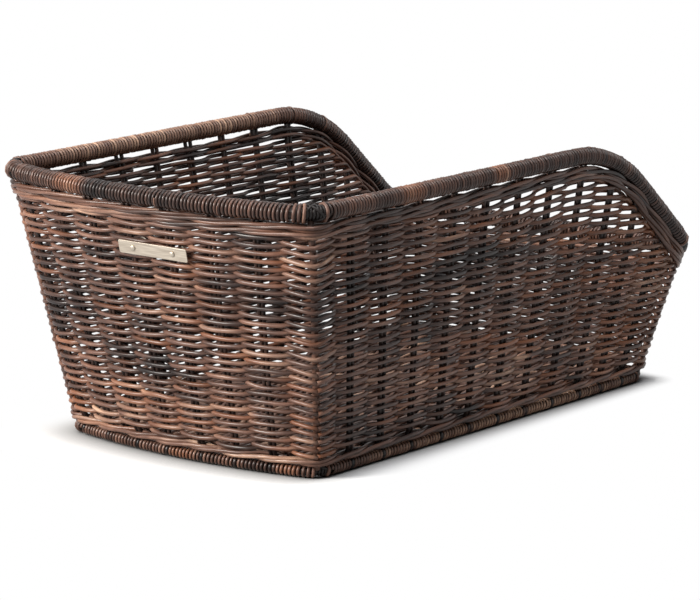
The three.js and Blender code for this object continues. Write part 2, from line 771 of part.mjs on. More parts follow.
const washerSeat = -wallThickness / 2 - seatGap;
const pinEnd = washerSeat - washerThickness - pinTail;
const plateFace = plateStandoff + plateThickness;
const pinRadius = pinDiameter / 2;
const pinShank = [[pinEnd, pinRadius], [plateFace + seatGap, pinRadius]];
let plate = loft([plateRing(plateStandoff), plateRing(plateFace)]);
let backWeave = wallWeave('back');
[-pinOffset, pinOffset].forEach((side, i) => {
  const headStart = plateFace + seatGap;
  const headEnd = headStart + pinHeadThickness;
  const headRadius = pinHeadDiameter / 2;
  const steps = [
    [pinEnd, pinRadius],
    [headStart, pinRadius],
    [headStart, headRadius],
    [headStart + pinHeadThickness / 2, headRadius],
    [headEnd, headRadius / 2],
  ];
  addPiece(`plate_pin_${i + 1}`, loft(pinRings(side, steps)), canes.pin);
  const hole = loft(pinRings(side, pinShank, seatGap));
  plate = plate.subtract(hole);
  backWeave = backWeave.subtract(hole);
  const washerBack = washerSeat - washerThickness;
  const disc = pinRings(side, [[washerBack, washerDiameter / 2], [washerSeat, washerDiameter / 2]]);
  const bore = pinRings(side, [[washerSeat, pinRadius + seatGap], [washerBack, pinRadius + seatGap]]);
  addPiece(`plate_washer_${i + 1}`, loft([...disc, ...bore], { closed: true }), canes.pin);
});
addPiece('plate', plate, canes.plate);

addPiece('wall_weave_back', backWeave, canes.weave);
for (const wall of ['right', 'front', 'left']) addPiece(`wall_weave_${wall}`, wallWeave(wall), canes.weave);

// Floor weave: ribs along the basket on both faces, inside the base rim

const floorInset = Math.max(baseRimDiameter, wallThickness) / 2 + seatGap;
const floorPlan = basePlanInside(floorInset);
const floorHalfWidth = baseWidth / 2 - floorInset;
const floorRibs = 2 * Math.round(floorHalfWidth / weaveStrip / 2);
const floorRings = [];
for (let i = 0; i <= 2 * floorRibs; i += 1) {
  const y = -floorHalfWidth + (i * floorHalfWidth) / floorRibs;
  const [low, high] = floorPlan.reachAt(y);
  const half = floorThickness / 2 - (i % 2 ? 0 : floorGroove);
  const outline = [[low, -half], [high, -half], [high, half], [low, half]];
  floorRings.push(outline.map(([x, z]) => new THREE.Vector3(x, y, floorHeight + z)));
}
let floorWeave = loft(floorRings);
for (const channel of channels.floor) floorWeave = floorWeave.subtract(channel);

// Slits between the rows, in every other groove of each bay between two cross stakes
const crossPlaces = sideShares.map((share) => rulingAtShare('right', share).placeAt(floorHeight).position.x);
const slitInset = stakeWidth / 2 + channelGap + floorSlitMargin;
const slitReach = floorSlitWidth / 2;
for (let i = 2; i < 2 * floorRibs; i += 4) {
  const y = -floorHalfWidth + (i * floorHalfWidth) / floorRibs;
  for (let bay = 1; bay < crossPlaces.length; bay += 1) {
    const low = crossPlaces[bay - 1] + slitInset;
    const high = crossPlaces[bay] - slitInset;
    const outline = [[low, y - slitReach], [high, y - slitReach], [high, y + slitReach], [low, y + slitReach]];
    const slit = [-floorThickness, floorThickness].map((rise) =>
      outline.map(([x, side]) => new THREE.Vector3(x, side, floorHeight + rise)));
    floorWeave = floorWeave.subtract(loft(slit));
  }
}
addPiece('floor_weave', floorWeave, canes.weave);

export default basket;
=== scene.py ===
import math

import bmesh
import bpy
import numpy as np
from mathutils import Matrix, Vector


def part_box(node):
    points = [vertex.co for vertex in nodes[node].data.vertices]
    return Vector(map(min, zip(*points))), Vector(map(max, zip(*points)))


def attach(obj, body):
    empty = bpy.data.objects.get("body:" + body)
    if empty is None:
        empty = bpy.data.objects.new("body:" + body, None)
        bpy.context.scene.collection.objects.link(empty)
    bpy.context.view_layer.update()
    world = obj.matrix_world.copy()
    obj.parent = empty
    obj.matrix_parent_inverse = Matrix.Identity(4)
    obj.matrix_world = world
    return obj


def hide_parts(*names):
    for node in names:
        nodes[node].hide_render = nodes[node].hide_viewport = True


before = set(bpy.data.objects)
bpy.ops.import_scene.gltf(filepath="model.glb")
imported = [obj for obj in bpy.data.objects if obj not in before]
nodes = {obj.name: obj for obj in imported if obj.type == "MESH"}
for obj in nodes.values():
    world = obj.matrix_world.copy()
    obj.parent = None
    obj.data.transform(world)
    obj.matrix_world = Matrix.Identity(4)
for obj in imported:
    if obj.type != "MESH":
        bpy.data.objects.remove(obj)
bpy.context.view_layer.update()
metre = 0.001  # shapes are worked out in millimetres
seeded = np.random.default_rng
print("frame loaded,", len(nodes), "nodes")

# The two hoops that the weave hangs between, and the side profile of the upper one
rimHoop = {"length": 470, "width": 276, "backBow": 20, "frontBow": 10, "cornerRadius": 24, "shift": 0}
baseHoop = {"length": 404, "width": 222, "backBow": 14, "frontBow": 10, "cornerRadius": 16, "shift": 11}
rimProfile = {
    "backHeight": 191, "frontHeight": 98, "sag": 3,
    "shoulderX": 124, "shoulderRadius": 123, "footX": 225, "footRadius": 30,
}
layout = {
    "sideSpaces": 12, "endSpaces": 8,
    "narrowSpaces": 3,  # the last ones of a side, towards the low end
    "narrowShare": 0.83,
    "lowEndShare": 0.7,  # the spaces next to its corner posts, against the others
    "highEndShares": (0.48, 1.1),  # the same for the high end, left and right
    "baseCentre": 4.6, "floorHeight": 10.6,
    "openBand": 11.5,  # from the middle of the rim down to the top of the weave
}
baseCentre, floorHeight, openBand = [layout[key] for key in ("baseCentre", "floorHeight", "openBand")]

# Stakes and posts are counted round the basket, from the near corner of the high end
wholeRound = 40
wallSpans = {"right": (0, 12), "front": (12, 20), "left": (20, 32), "back": (32, wholeRound)}
cornerPlaces = {"front_right": 12, "front_left": 20, "back_left": 32, "back_right": wholeRound}
corners = sorted(place % wholeRound for place in cornerPlaces.values())
lowEndMiddle, highEndMiddle = 16, 36
gridStep = 0.02


def hoopWalls(hoop):
    half = hoop["width"] / 2
    corner = hoop["cornerRadius"]
    rise = half - corner

    def bow(depth):
        radius = (half**2 + depth**2) / (2 * depth)
        return radius, math.asin(rise / (radius - corner)), math.sqrt((radius - corner) ** 2 - rise**2)

    def arc(x, y, radius, start, end):
        turn = np.linspace(start, end, max(12, int(abs(end - start) * radius * 2)))
        return np.column_stack([x + radius * np.cos(turn), y + radius * np.sin(turn)])

    backRadius, backLean, backReach = bow(hoop["backBow"])
    frontRadius, frontLean, frontReach = bow(hoop["frontBow"])
    backCentre = hoop["shift"] - hoop["length"] / 2 + backRadius
    frontCentre = hoop["shift"] + hoop["length"] / 2 - frontRadius
    backX = backCentre - backReach
    frontX = frontCentre + frontReach
    quarter = math.pi / 2
    backMiddle = (backLean - quarter) / 2 - quarter
    frontMiddle = (quarter - frontLean) / 2 - quarter
    right = [arc(backX, -rise, corner, backMiddle, -quarter), arc(frontX, -rise, corner, -quarter, frontMiddle)]
    front = [
        arc(frontX, -rise, corner, frontMiddle, -frontLean),
        arc(frontCentre, 0, frontRadius, -frontLean, frontLean),
        arc(frontX, rise, corner, frontLean, -frontMiddle),
    ]
    left = [arc(frontX, rise, corner, -frontMiddle, quarter), arc(backX, rise, corner, quarter, -backMiddle)]
    back = [
        arc(backX, rise, corner, -backMiddle, math.pi - backLean),
        arc(backCentre, 0, backRadius, math.pi - backLean, math.pi + backLean),
        arc(backX, -rise, corner, math.pi + backLean, 2 * math.pi + backMiddle),
    ]
    return [np.concatenate(parts) for parts in (right, front, left, back)]


def wallMarks():
    # the stakes' places along each wall, as shares of its length
    wide = [1.0] * (layout["sideSpaces"] - layout["narrowSpaces"])
    narrow = [layout["narrowShare"]] * layout["narrowSpaces"]
    inner = [1.0] * (layout["endSpaces"] - 2)
    low = layout["lowEndShare"]
    left, right = layout["highEndShares"]
    walls = [wide + narrow, [low] + inner + [low], narrow + wide, [left] + inner + [right]]
    return [np.concatenate([[0], np.cumsum(spaces)]) / sum(spaces) for spaces in walls]


def hoopTable(hoop):
    # a hoop's points over the stake count
    found = []
    for line, marks in zip(hoopWalls(hoop), wallMarks()):
        travel = travelOf(line)
        spaces = len(marks) - 1
        share = np.interp(np.arange(0, spaces, gridStep), np.arange(spaces + 1), marks)
        found.append(np.column_stack([np.interp(share * travel[-1], travel, line[:, i]) for i in (0, 1)]))
    return np.concatenate(found)


def rimHeight(x):
    backHeight, frontHeight, sag, shoulderX, shoulderRadius, footX, footRadius = rimProfile.values()
    shoulderHeight = backHeight - sag
    straightFall = math.atan2(sag, shoulderX + rimHoop["length"] / 2)
    slopeFall = math.atan2(shoulderHeight - frontHeight, footX - shoulderX)
    shoulderReach = shoulderRadius * math.tan((slopeFall - straightFall) / 2)
    footReach = footRadius * math.tan(slopeFall / 2)
    straight = shoulderHeight - (x - shoulderX) * math.tan(straightFall)
    slope = frontHeight - (x - footX) * math.tan(slopeFall)
    arcStart = shoulderX - shoulderReach * math.cos(straightFall)
    arcEnd = shoulderX + shoulderReach * math.cos(slopeFall)
    footStart = footX - footReach * math.cos(slopeFall)
    footEnd = footX + footReach
    centreX = arcStart - shoulderRadius * math.sin(straightFall)
    startZ = shoulderHeight - (arcStart - shoulderX) * math.tan(straightFall)
    centreZ = startZ - shoulderRadius * math.cos(straightFall)
    shoulder = centreZ + np.sqrt(np.maximum(shoulderRadius**2 - (x - centreX) ** 2, 0))
    foot = frontHeight + footRadius - np.sqrt(np.maximum(footRadius**2 - (x - footEnd) ** 2, 0))
    bends = [x <= arcStart, x <= arcEnd, x <= footStart, x <= footEnd]
    return np.select(bends, [straight, shoulder, slope, foot], frontHeight)


def travelOf(points):
    # the way covered along a line at each of its points
    return np.concatenate([[0], np.cumsum(np.linalg.norm(np.diff(points, axis=0), axis=1))])


def aroundSteps(table):
    return np.roll(table, -1, axis=0) - np.roll(table, 1, axis=0)


def unit(vectors):
    return vectors / np.linalg.norm(vectors, axis=1)[:, None]


grid = np.arange(0, wholeRound, gridStep)
rimPlan = hoopTable(rimHoop)
basePlan = hoopTable(baseHoop)
rimTangents = unit(aroundSteps(rimPlan))
baseTangents = unit(aroundSteps(basePlan))
rimLevels = rimHeight(rimPlan[:, 0])
rimLine = np.column_stack([rimPlan, rimLevels])
baseLine = np.column_stack([basePlan, np.full(len(basePlan), baseCentre)])
planSteps = np.hypot(*aroundSteps(rimPlan).T)
rimSteepness = np.hypot(1, aroundSteps(rimLevels) / planSteps)
straightTan = rimProfile["sag"] / (rimProfile["shoulderX"] + rimHoop["length"] / 2)


def look(table, s):
    # reads a table of the hoop at any stake count, round and round
    if table.ndim == 1:
        return np.interp(s % wholeRound, grid, table, period=wholeRound)
    return np.column_stack([look(column, s) for column in table.T])


def awayFrom(s, place):
    # the way round from a place, in stakes, from -20 to 20
    return (s - place + wholeRound / 2) % wholeRound - wholeRound / 2


def opposite(s):
    # the place across the basket from one on a long side
    return wallSpans["left"][1] - s


def onStretch(s, low, high, fadeIn=1.0, fadeOut=1.0):
    # 1 between two places, fading to 0 at both
    return np.clip(np.minimum((s % wholeRound - low) / fadeIn, (high - s % wholeRound) / fadeOut), 0, 1)


def wallPoints(s, z, outward=0.0, sideways=0.0):
    # points on the wall between the hoops, moved out from its middle or along it
    s, z, outward, sideways = np.broadcast_arrays(*np.atleast_1d(s, z, outward, sideways))
    foot = look(baseLine, s)
    head = look(rimLine, s)
    share = ((z - foot[:, 2]) / (head[:, 2] - foot[:, 2]))[:, None]
    blend = np.clip(share, 0, 1)
    flat = unit(look(baseTangents, s) * (1 - blend) + look(rimTangents, s) * blend)
    ruling = unit(head - foot)
    out = np.column_stack([flat[:, 1], -flat[:, 0], np.zeros(len(flat))])
    out = unit(out - (out * ruling).sum(1)[:, None] * ruling)
    along = np.column_stack([flat, np.zeros(len(flat))])
    return foot + (head - foot) * share + out * outward[:, None] + along * sideways[:, None]


def softly(part):
    return part * part * (3 - 2 * part)


def between(values, place):
    # runs softly from each value to the next
    whole = np.floor(place).astype(int)
    part = softly(place - whole)
    return values[whole] * (1 - part) + values[whole + 1] * part


def wobble(rng, s, step, size):
    # a smooth random swing along a cane
    place = (s - s.min()) / step
    return between(rng.normal(0, size, int(place.max()) + 3), place)


def makeField(seed, stepS, stepZ):
    # soft patches over the walls that neighbouring rows share, from -1 to 1
    rng = seeded(seed)
    across = int(round(wholeRound / stepS))
    values = rng.uniform(-1, 1, (across, 64))

    def at(s, z):
        u, v = (s % wholeRound) / stepS, np.clip(z / stepZ + 8, 0, 62)
        iu, iv = np.floor(u).astype(int), np.floor(v).astype(int)
        pu, pv = softly(u - iu), softly(v - iv)
        rows = [values[iu % across, k] * (1 - pu) + values[(iu + 1) % across, k] * pu for k in (iv, iv + 1)]
        return rows[0] * (1 - pv) + rows[1] * pv

    return at


def dyePatches(rng, travel, swing, shortest, longest, blur):
    # the dye changes along a cane in lengths with soft ends; values from -swing to swing
    edges = [travel[0] - rng.uniform(0, longest)]
    while edges[-1] < travel[-1] + longest:
        edges.append(edges[-1] + rng.uniform(shortest, longest))
    values = rng.uniform(-1, 1, len(edges))
    places = np.array(edges)[1:-1]
    knots = np.column_stack([places - blur, places + blur]).ravel()
    return swing * np.interp(travel, knots, np.column_stack([values[:-2], values[1:-1]]).ravel())


def dyed(rng, travel, piece, blur=4.0):
    # a cane's tone and warmth: the middle value of its piece, with swings in lengths of dye
    return [piece[label] + dyePatches(rng, travel, *piece[label + "Dye"], blur) for label in ("tone", "warm")]


def makeStrand(points, radius, tone, warm):
    looks = {"radius": radius, "tone": tone, "warm": warm}
    return {"points": points, **{key: np.broadcast_to(value, len(points)) for key, value in looks.items()}}


def newObject(title, data):
    thing = bpy.data.objects.new(title, data)
    bpy.context.scene.collection.objects.link(thing)
    return thing


def meshFrom(work, mesh):
    work.to_mesh(mesh)
    work.free()
    return mesh


def caneMesh(title, strands, sides, seed):
    # round canes along their middle lines, with the place along and around each cane kept for its grain
    curve = bpy.data.curves.new(title, "CURVE")
    curve.dimensions = "3D"
    curve.bevel_depth = metre
    curve.bevel_resolution = (sides - 4) // 2
    for strand in strands:
        points = strand["points"] * metre
        spline = curve.splines.new("POLY")
        spline.points.add(len(points) - 1)
        spline.points.foreach_set("co", np.column_stack([points, np.ones(len(points))]).ravel())
        spline.points.foreach_set("radius", strand["radius"])
    holder = newObject(title + "Lines", curve)
    bpy.context.view_layer.update()
    mesh = bpy.data.meshes.new_from_object(holder)
    bpy.data.objects.remove(holder)
    bpy.data.curves.remove(curve)
    rng = seeded(seed)
    turn = np.arange(sides) / sides * 2 * math.pi
    grain = []
    for strand in strands:
        travel = travelOf(strand["points"]) * metre + rng.uniform(0, 40)
        radius = strand["radius"][:, None] * metre
        ring = [np.repeat(travel[:, None], sides, 1), radius * np.cos(turn), radius * np.sin(turn)]
        grain.append(np.stack(ring, axis=2).reshape(-1, 3))
    mesh.attributes.new("cane", "FLOAT_VECTOR", "POINT").data.foreach_set("vector", np.concatenate(grain).ravel())
    for label in ("tone", "warm"):
        values = np.concatenate([np.repeat(strand[label], sides) for strand in strands])
        mesh.attributes.new(label, "FLOAT", "POINT").data.foreach_set("value", values)
    mesh.name = title
    work = bmesh.new()
    work.from_mesh(mesh)
    bmesh.ops.holes_fill(work, edges=[edge for edge in work.edges if edge.is_boundary], sides=0)
    meshFrom(work, mesh).shade_smooth()
    return mesh


def addPiece(title, mesh, material, replaced=()):
    piece = newObject(title, mesh)
    mesh.materials.clear()
    mesh.materials.append(material)
    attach(piece, "root")
    if replaced:
        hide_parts(*replaced)


def addCanes(title, strands, sides, seed, slotName, replaced=()):
    mesh = caneMesh(title, strands, sides, seed)
    addPiece(title, mesh, caneFinishes[slotName], replaced)
    return sum(len(face.vertices) - 2 for face in mesh.polygons)  # triangles


def srgb(code):
    values = [int(code[i:i + 2], 16) / 255 for i in (0, 2, 4)]
    return [v / 12.92 if v <= 0.04045 else ((v + 0.055) / 1.055) ** 2.4 for v in values] + [1]


def nodeMaker(owner):
    # empties a material or world and gives functions that add a node or a sum to it
    owner.use_nodes = True
    tree = owner.node_tree
    tree.nodes.clear()

    def add(kind, inputs=None, **settings):
        node = tree.nodes.new("ShaderNode" + kind)
        for key, value in settings.items():
            setattr(node, key, value)
        for key, value in (inputs or {}).items():
            if isinstance(value, bpy.types.NodeSocket):
                tree.links.new(value, node.inputs[key])
            else:
                node.inputs[key].default_value = value
        return node

    def maths(operation, *values):
        return add("Math", dict(enumerate(values)), operation=operation).outputs[0]

    return add, maths


def noise(add, place, scale, detail, rough=0.5):
    inputs = {"Vector": place, "Scale": scale, "Detail": detail, "Roughness": rough}
    return add("TexNoise", inputs).outputs["Fac"]


def colourRamp(add, amount, stops):
    ramp = add("ValToRGB", {"Fac": amount})
    elements = ramp.color_ramp.elements
    while len(elements) < len(stops):
        elements.new(0.5)
    for element, (place, code) in zip(elements, stops):
        element.position = place
        element.color = srgb(code)
    return ramp.outputs["Color"]


def finishShader(add, maths, colour, grain, rough, roughSwing, strength, depth, **more):
    # the grain also makes the gloss uneven and gives a fine relief
    bump = add("Bump", {"Strength": strength, "Distance": depth, "Height": grain})
    inputs = {
        "Base Color": colour,
        "Roughness": maths("MULTIPLY_ADD", grain, roughSwing, rough - roughSwing / 2),
        "Normal": bump.outputs["Normal"],
        **more,
    }
    add("OutputMaterial", {"Surface": add("BsdfPrincipled", inputs).outputs["BSDF"]})


# Finishes
caneColours = [
    (0.0, "0f0c0c"), (0.22, "231a18"), (0.45, "47332c"),
    (0.66, "674b40"), (0.86, "8b6d5d"), (1.0, "b8967f"),
]
caneFinish = {
    "streaks": (40, 900, 900),  # along and across a cane
    "blotches": (150, 350, 350), "blotchSwing": 0.15, "patches": 22,
    "cold": (0.36, "2b2a2f"),  # below this warmth
    "warm": (0.62, "8a5230"),  # above this warmth
    # the groove keys give the reach and colour of the painted shade where two winding turns meet
    "tint": 1.5, "grooveReach": 2.0, "grooveColour": "0f0c0c", "gloss": 0.28,
}


def caneMaterial(name, rough, streak, grooveShade=0.0):
    material = bpy.data.materials.new(name)
    add, maths = nodeMaker(material)

    def attribute(label):
        return add("Attribute", attribute_type="GEOMETRY", attribute_name=label).outputs

    def caneNoise(scale, detail, rough=0.5):
        stretched = add("Mapping", {"Vector": attribute("cane")["Vector"], "Scale": scale})
        return noise(add, stretched.outputs["Vector"], 1, detail, rough)

    def tint(colour, amount, code):
        inputs = {"Factor": amount, "A": colour, "B": srgb(code)}
        return add("Mix", inputs, data_type="RGBA").outputs["Result"]

    def share(larger, smaller):
        return maths("MULTIPLY", maths("MAXIMUM", maths("SUBTRACT", larger, smaller), 0), caneFinish["tint"])

    streaks = caneNoise(caneFinish["streaks"], 3, 0.6)
    blotches = caneNoise(caneFinish["blotches"], 2)
    patches = noise(add, add("TexCoord").outputs["Object"], caneFinish["patches"], 2)
    tone = attribute("tone")["Fac"]
    blotchSwing = caneFinish["blotchSwing"]
    for grain, swing in ((streaks, streak), (blotches, blotchSwing), (patches, blotchSwing)):
        tone = maths("ADD", tone, maths("MULTIPLY_ADD", grain, swing * 2, -swing))
    colour = colourRamp(add, tone, caneColours)
    warmth = attribute("warm")["Fac"]
    coldFrom, coldColour = caneFinish["cold"]
    warmFrom, warmColour = caneFinish["warm"]
    colour = tint(colour, share(coldFrom, warmth), coldColour)
    colour = tint(colour, share(warmth, warmFrom), warmColour)
    if grooveShade:  # painted shade: the colour goes darker where two turns meet, by ambient occlusion
        hollow = add("AmbientOcclusion", {"Distance": caneFinish["grooveReach"] * metre}, samples=4)
        dark = maths("MULTIPLY", maths("SUBTRACT", 1, hollow.outputs["AO"]), grooveShade)
        colour = tint(colour, dark, caneFinish["grooveColour"])
    more = {"IOR": 1.5, "Specular IOR Level": caneFinish["gloss"]}
    finishShader(add, maths, colour, streaks, rough, roughSwing=0.16, strength=0.35, depth=0.3 * metre, **more)
    return material


caneFinishes = {
    "weave": caneMaterial("WovenCane", rough=0.36, streak=0.22),
    "winding": caneMaterial("WindingCane", rough=0.34, streak=0.16, grooveShade=1.3),
    "lashing": caneMaterial("LashingCane", rough=0.45, streak=0.14),
    "stake": caneMaterial("StakeCane", rough=0.46, streak=0.16),
}
print("finishes made")

# Walls: rows of single canes, each over one stake and under the next
weaving = {
    "firstRow": 17.3, "rowPitch": 2.85, "caneRadius": 1.5,
    "swing": 2.95,  # in front of a stake or behind it
    "plateau": 0.52,
    "nearCornerSwing": 1.7,  # more than that in front of the corner post beside the photograph's middle
    "farCornerSwing": -0.3,
    "nearCornerPush": 1.0,  # 1 would be a sharp corner, 0 follows the rim's bend
    "farCornerPush": 0.0, "cornerTip": 3.0,
    "footPush": (0.35, 0.25),  # what is left of the push at the foot, and the share of the height it grows over
    "headPush": (0.5, 26),  # the same under the rim, in millimetres
    "pointsPerSpace": 12,
    "ceiling": 9.0,  # top row below the top of the weave
    "meet": 1.0,
    "slopeStart": 3,  # no row ends nearer to the high end than this stake
    "slopeHold": 0.3,  # spaces before a row's end where it keeps under the slope
    "tailSpaces": 0.25, "tailIn": 1.6, "tailTurn": 0.5, "hiddenThinner": 0.85,
    "levelWander": 0.6,
    # jitters: the way from one swing to the next, and their size
    "heightJitter": (0.5, 0.33), "depthJitter": (0.5, 0.24), "radiusJitter": (1.5, 0.035),
    "looseX": (85, 80),  # the rows under the shoulder stand higher: the middle and reach of that
    "looseZ": (110, 50, 1.4),  # it begins at this height, is full this much higher, and may grow to this share
    "rightLoosening": 9.0, "leftLoosening": 0.5, "farCornerThick": 0.14, "highEndThick": 0.07,
    # the left wall and the low end get painted shade: their canes are darker, and the low end's less warm
    "tone": 0.55, "toneDye": (0.2, 28, 75), "toneField": 0.23, "leftPaintedShade": 0.12, "lowEndPaintedShade": 0.2,
    "warm": 0.57, "warmDye": (0.18, 30, 90), "warmField": 0.26,
    "rightWarm": 0.2,
    "rightWarmSpan": (3, 12, 4),  # from and to which stake, and over how many it comes
}
topLifts = [
    (0, 3.6), (1.2, 3.1), (2.4, 2.6), (4, 2.9), (6.8, 3.1), (8.3, 3.4), (9, 3.7), (12, 3.4), (12.5, 2.4), (16, 2.4),
    (19.5, 2.4), (20, 3.4), (23, 3.6), (23.7, 2.6), (25.2, 0.8), (28, 0.8), (29.6, 1.4), (30.8, 2.2), (32, 2.6),
    (36, 2.6), (39, 3.1), (40, 3.6),
]
toneField = makeField(11, 1.6, 22)
warmField = makeField(15, 1.1, 14)
wanderField = makeField(12, 2.2, 30)


def topLift(s):
    # how far the top of the weave comes up towards the rim
    return np.interp(s % wholeRound, *np.transpose(topLifts))


def underRim(s, drop):
    # a line that keeps its distance below the top of the weave, also on the slopes
    return look(rimLevels, s) - openBand - (drop - topLift(s)) * look(rimSteepness, s)


rimTurns = np.concatenate([[0], np.cumsum(planSteps / 2)])[:len(grid)]
cornerTurns = [float(look(rimTurns, corner)) for corner in corners] + [float(rimTurns[-1])]


def cornerPush(s, z):
    # the weave turns the corner in front more tightly than the rims do
    gaps = np.array([np.abs(look(rimTurns, s) - place) for place in cornerTurns])
    share = np.clip(np.asarray(z) / look(rimLevels, s), 0, 1)
    radius = baseHoop["cornerRadius"] * (1 - share) + rimHoop["cornerRadius"] * share
    turn = np.maximum(math.pi / 4 - np.hypot(np.min(gaps, axis=0), weaving["cornerTip"]) / radius, 0)
    near = np.isin(np.argmin(gaps, axis=0), (0, len(cornerTurns) - 1))
    amount = np.where(near, weaving["nearCornerPush"], weaving["farCornerPush"])
    footLeft, footReach = weaving["footPush"]
    headLeft, headReach = weaving["headPush"]
    ends = np.clip(share / footReach, footLeft, 1) * np.clip((look(rimLevels, s) - z) / headReach, headLeft, 1)
    return amount * ends * radius * (1 / np.cos(turn) - 1)


def cornerNearness(s):
    gaps = [np.abs(awayFrom(s, corner)) for corner in corners]
    return np.clip(1 - 2 * np.min(gaps, axis=0), 0, 1) ** 1.5


def rowLevel(s, height):
    # level at the foot, parallel to the straight stretch of the rim at the top
    x = look(rimPlan[:, 0], s)
    straight = rimProfile["backHeight"] - rimProfile["sag"] - (x - rimProfile["shoulderX"]) * straightTan
    foot = baseCentre * 2
    drop = openBand + weaving["ceiling"] - topLift(highEndMiddle)
    level = foot + (height - foot) * (straight - drop - foot) / (rimProfile["backHeight"] - drop - foot)
    middle, reach = weaving["looseX"]
    begin, rise, most = weaving["looseZ"]
    loose = np.exp(-((x - middle) / reach) ** 2) * np.clip((level - begin) / rise, 0, most)
    onLeft = (s % wholeRound > lowEndMiddle) & (s % wholeRound < highEndMiddle)
    return level + np.where(onLeft, weaving["leftLoosening"], weaving["rightLoosening"]) * loose


def rowEnd(height, wall):
    # how far from the high end a row meets the slope of a side wall
    s = np.arange(weaving["slopeStart"], wallSpans["right"][1], 0.01)
    places = s if wall == "right" else opposite(s)
    over = rowLevel(places, height) - underRim(places, weaving["ceiling"])
    return None if over.max() < weaving["meet"] else s[np.argmax(over > weaving["meet"])]


def rowPath(s, height, meets):
    # a row keeps under the slopes, and one that ends at them where it meets them
    level = rowLevel(s, height) + weaving["levelWander"] * wanderField(s, height)
    highest = underRim(s, weaving["ceiling"]) + weaving["meet"]
    inside = np.minimum(s - meets[0], meets[1] - s) if meets else 0
    return np.where(inside < weaving["slopeHold"], np.minimum(level, highest), level)


def overUnder(s, row):
    # a cane's swing over one stake and under the next, from 1 to -1
    wave = np.cos(np.pi * (s + row))
    return np.sign(wave) * np.abs(wave) ** weaving["plateau"]


def wovenStrand(s, level, height, row, meets, rng):
    w = weaving
    wave = overUnder(s, row)
    near = np.abs(awayFrom(s, 0)) < 1
    extra = np.where(near, w["nearCornerSwing"] * (wave > 0), w["farCornerSwing"])
    swing = w["swing"] + extra * cornerNearness(s)
    out = swing * wave + wobble(rng, s, *w["depthJitter"])
    if meets:
        turn = np.clip(1 - np.minimum(s - s[0], s[-1] - s) / w["tailTurn"], 0, 1)
        out = out * (1 - turn) - w["tailIn"] * turn
    out = out + cornerPush(s, level)
    points = wallPoints(s, level + wobble(rng, s, *w["heightJitter"]), out)
    onLowEnd = onStretch(s, *wallSpans["front"])
    tone, warm = dyed(rng, travelOf(points), w)
    tone = tone + w["toneField"] * toneField(s, height)
    # painted shade: the left wall and the low end are darker, and the low end less warm, in place of the shade on
    # their inner faces
    tone = tone - w["leftPaintedShade"] * onStretch(s, *wallSpans["left"]) - w["lowEndPaintedShade"] * onLowEnd
    warm = warm + w["warmField"] * warmField(s, height)
    warm = warm + w["rightWarm"] * onStretch(s, *w["rightWarmSpan"]) - w["lowEndPaintedShade"] * onLowEnd
    thick = w["farCornerThick"] * cornerNearness(s) * ~near
    thick = thick + w["highEndThick"] * onStretch(s, *wallSpans["back"], 2, 2)
    return makeStrand(points, w["caneRadius"] * (1 + wobble(rng, s, *w["radiusJitter"]) + thick), tone, warm)


wallStrands = {name: [] for name in wallSpans}


def giveToWalls(strand, s):
    # cuts a cane at the corners; each wall's part runs on a little, thinner, inside the next one
    for turn in (0, wholeRound):
        for name, (low, high) in wallSpans.items():
            inside = np.where((s >= low + turn - 1e-6) & (s <= high + turn + 1e-6))[0]
            if len(inside) > 2:
                held = np.arange(max(inside[0] - 1, 0), min(inside[-1] + 2, len(s)))
                part = {key: values[held] for key, values in strand.items()}
                part["radius"] = part["radius"] * np.where(np.isin(held, inside), 1, weaving["hiddenThinner"])
                wallStrands[name].append(part)


def fullRound(pointsPerSpace, start=0):
    step = 1 / pointsPerSpace
    return np.arange(0, wholeRound + step / 2, step) + start


highestRow = rimProfile["backHeight"] - openBand - weaving["ceiling"] + topLift(highEndMiddle)
rowCount = round((highestRow - weaving["firstRow"]) / weaving["rowPitch"]) + 1
step = 1 / weaving["pointsPerSpace"]
for row, height in enumerate(np.linspace(weaving["firstRow"], highestRow, rowCount)):
    rightEnd, leftEnd = [rowEnd(height, wall) for wall in ("right", "left")]
    meets = None
    s = fullRound(weaving["pointsPerSpace"])
    if rightEnd is not None and leftEnd is not None:  # from one slope round the high end to the other
        meets = opposite(leftEnd), rightEnd + wholeRound
        first, last = meets[0] - weaving["tailSpaces"], meets[1] + weaving["tailSpaces"]
        inner = np.arange(math.ceil(first / step), math.floor(last / step) + 1) * step
        s = np.concatenate([[first], inner[(inner > first + gridStep) & (inner < last - gridStep)], [last]])
    level = rowPath(s, height, meets)
    giveToWalls(wovenStrand(s, level, height, row, meets, seeded(1000 + row)), s)
print("rows laid:", rowCount)

# Wales: bands of three canes, each in front of two stakes and behind the third
wales = {
    "caneRadius": 1.45, "out": 4.2,
    "firstShare": 0.93,  # of that, in front of the first of the two
    "behind": 2.9, "cross": 1.25,
    "heightJitter": (0.6, 0.25), "depthJitter": (0.6, 0.2), "radiusJitter": (1.5, 0.03),
    "pointsPerSpace": 8, "lowBand": 12.75,
    # seed, place where the canes start, drop below the top of the weave, shift of the turns
    "bands": [(400, 20, None, 0), (500, 12, 0.9, 0), (510, 12, 5.3, 1)],
    "tone": 0.42, "toneDye": (0.22, 45, 110), "toneField": 0.14, "warm": 0.58, "warmDye": (0.2, 50, 130),
    "endsLight": 0.14, "endsFrom": (200, 20), "footLight": 0.14,
}


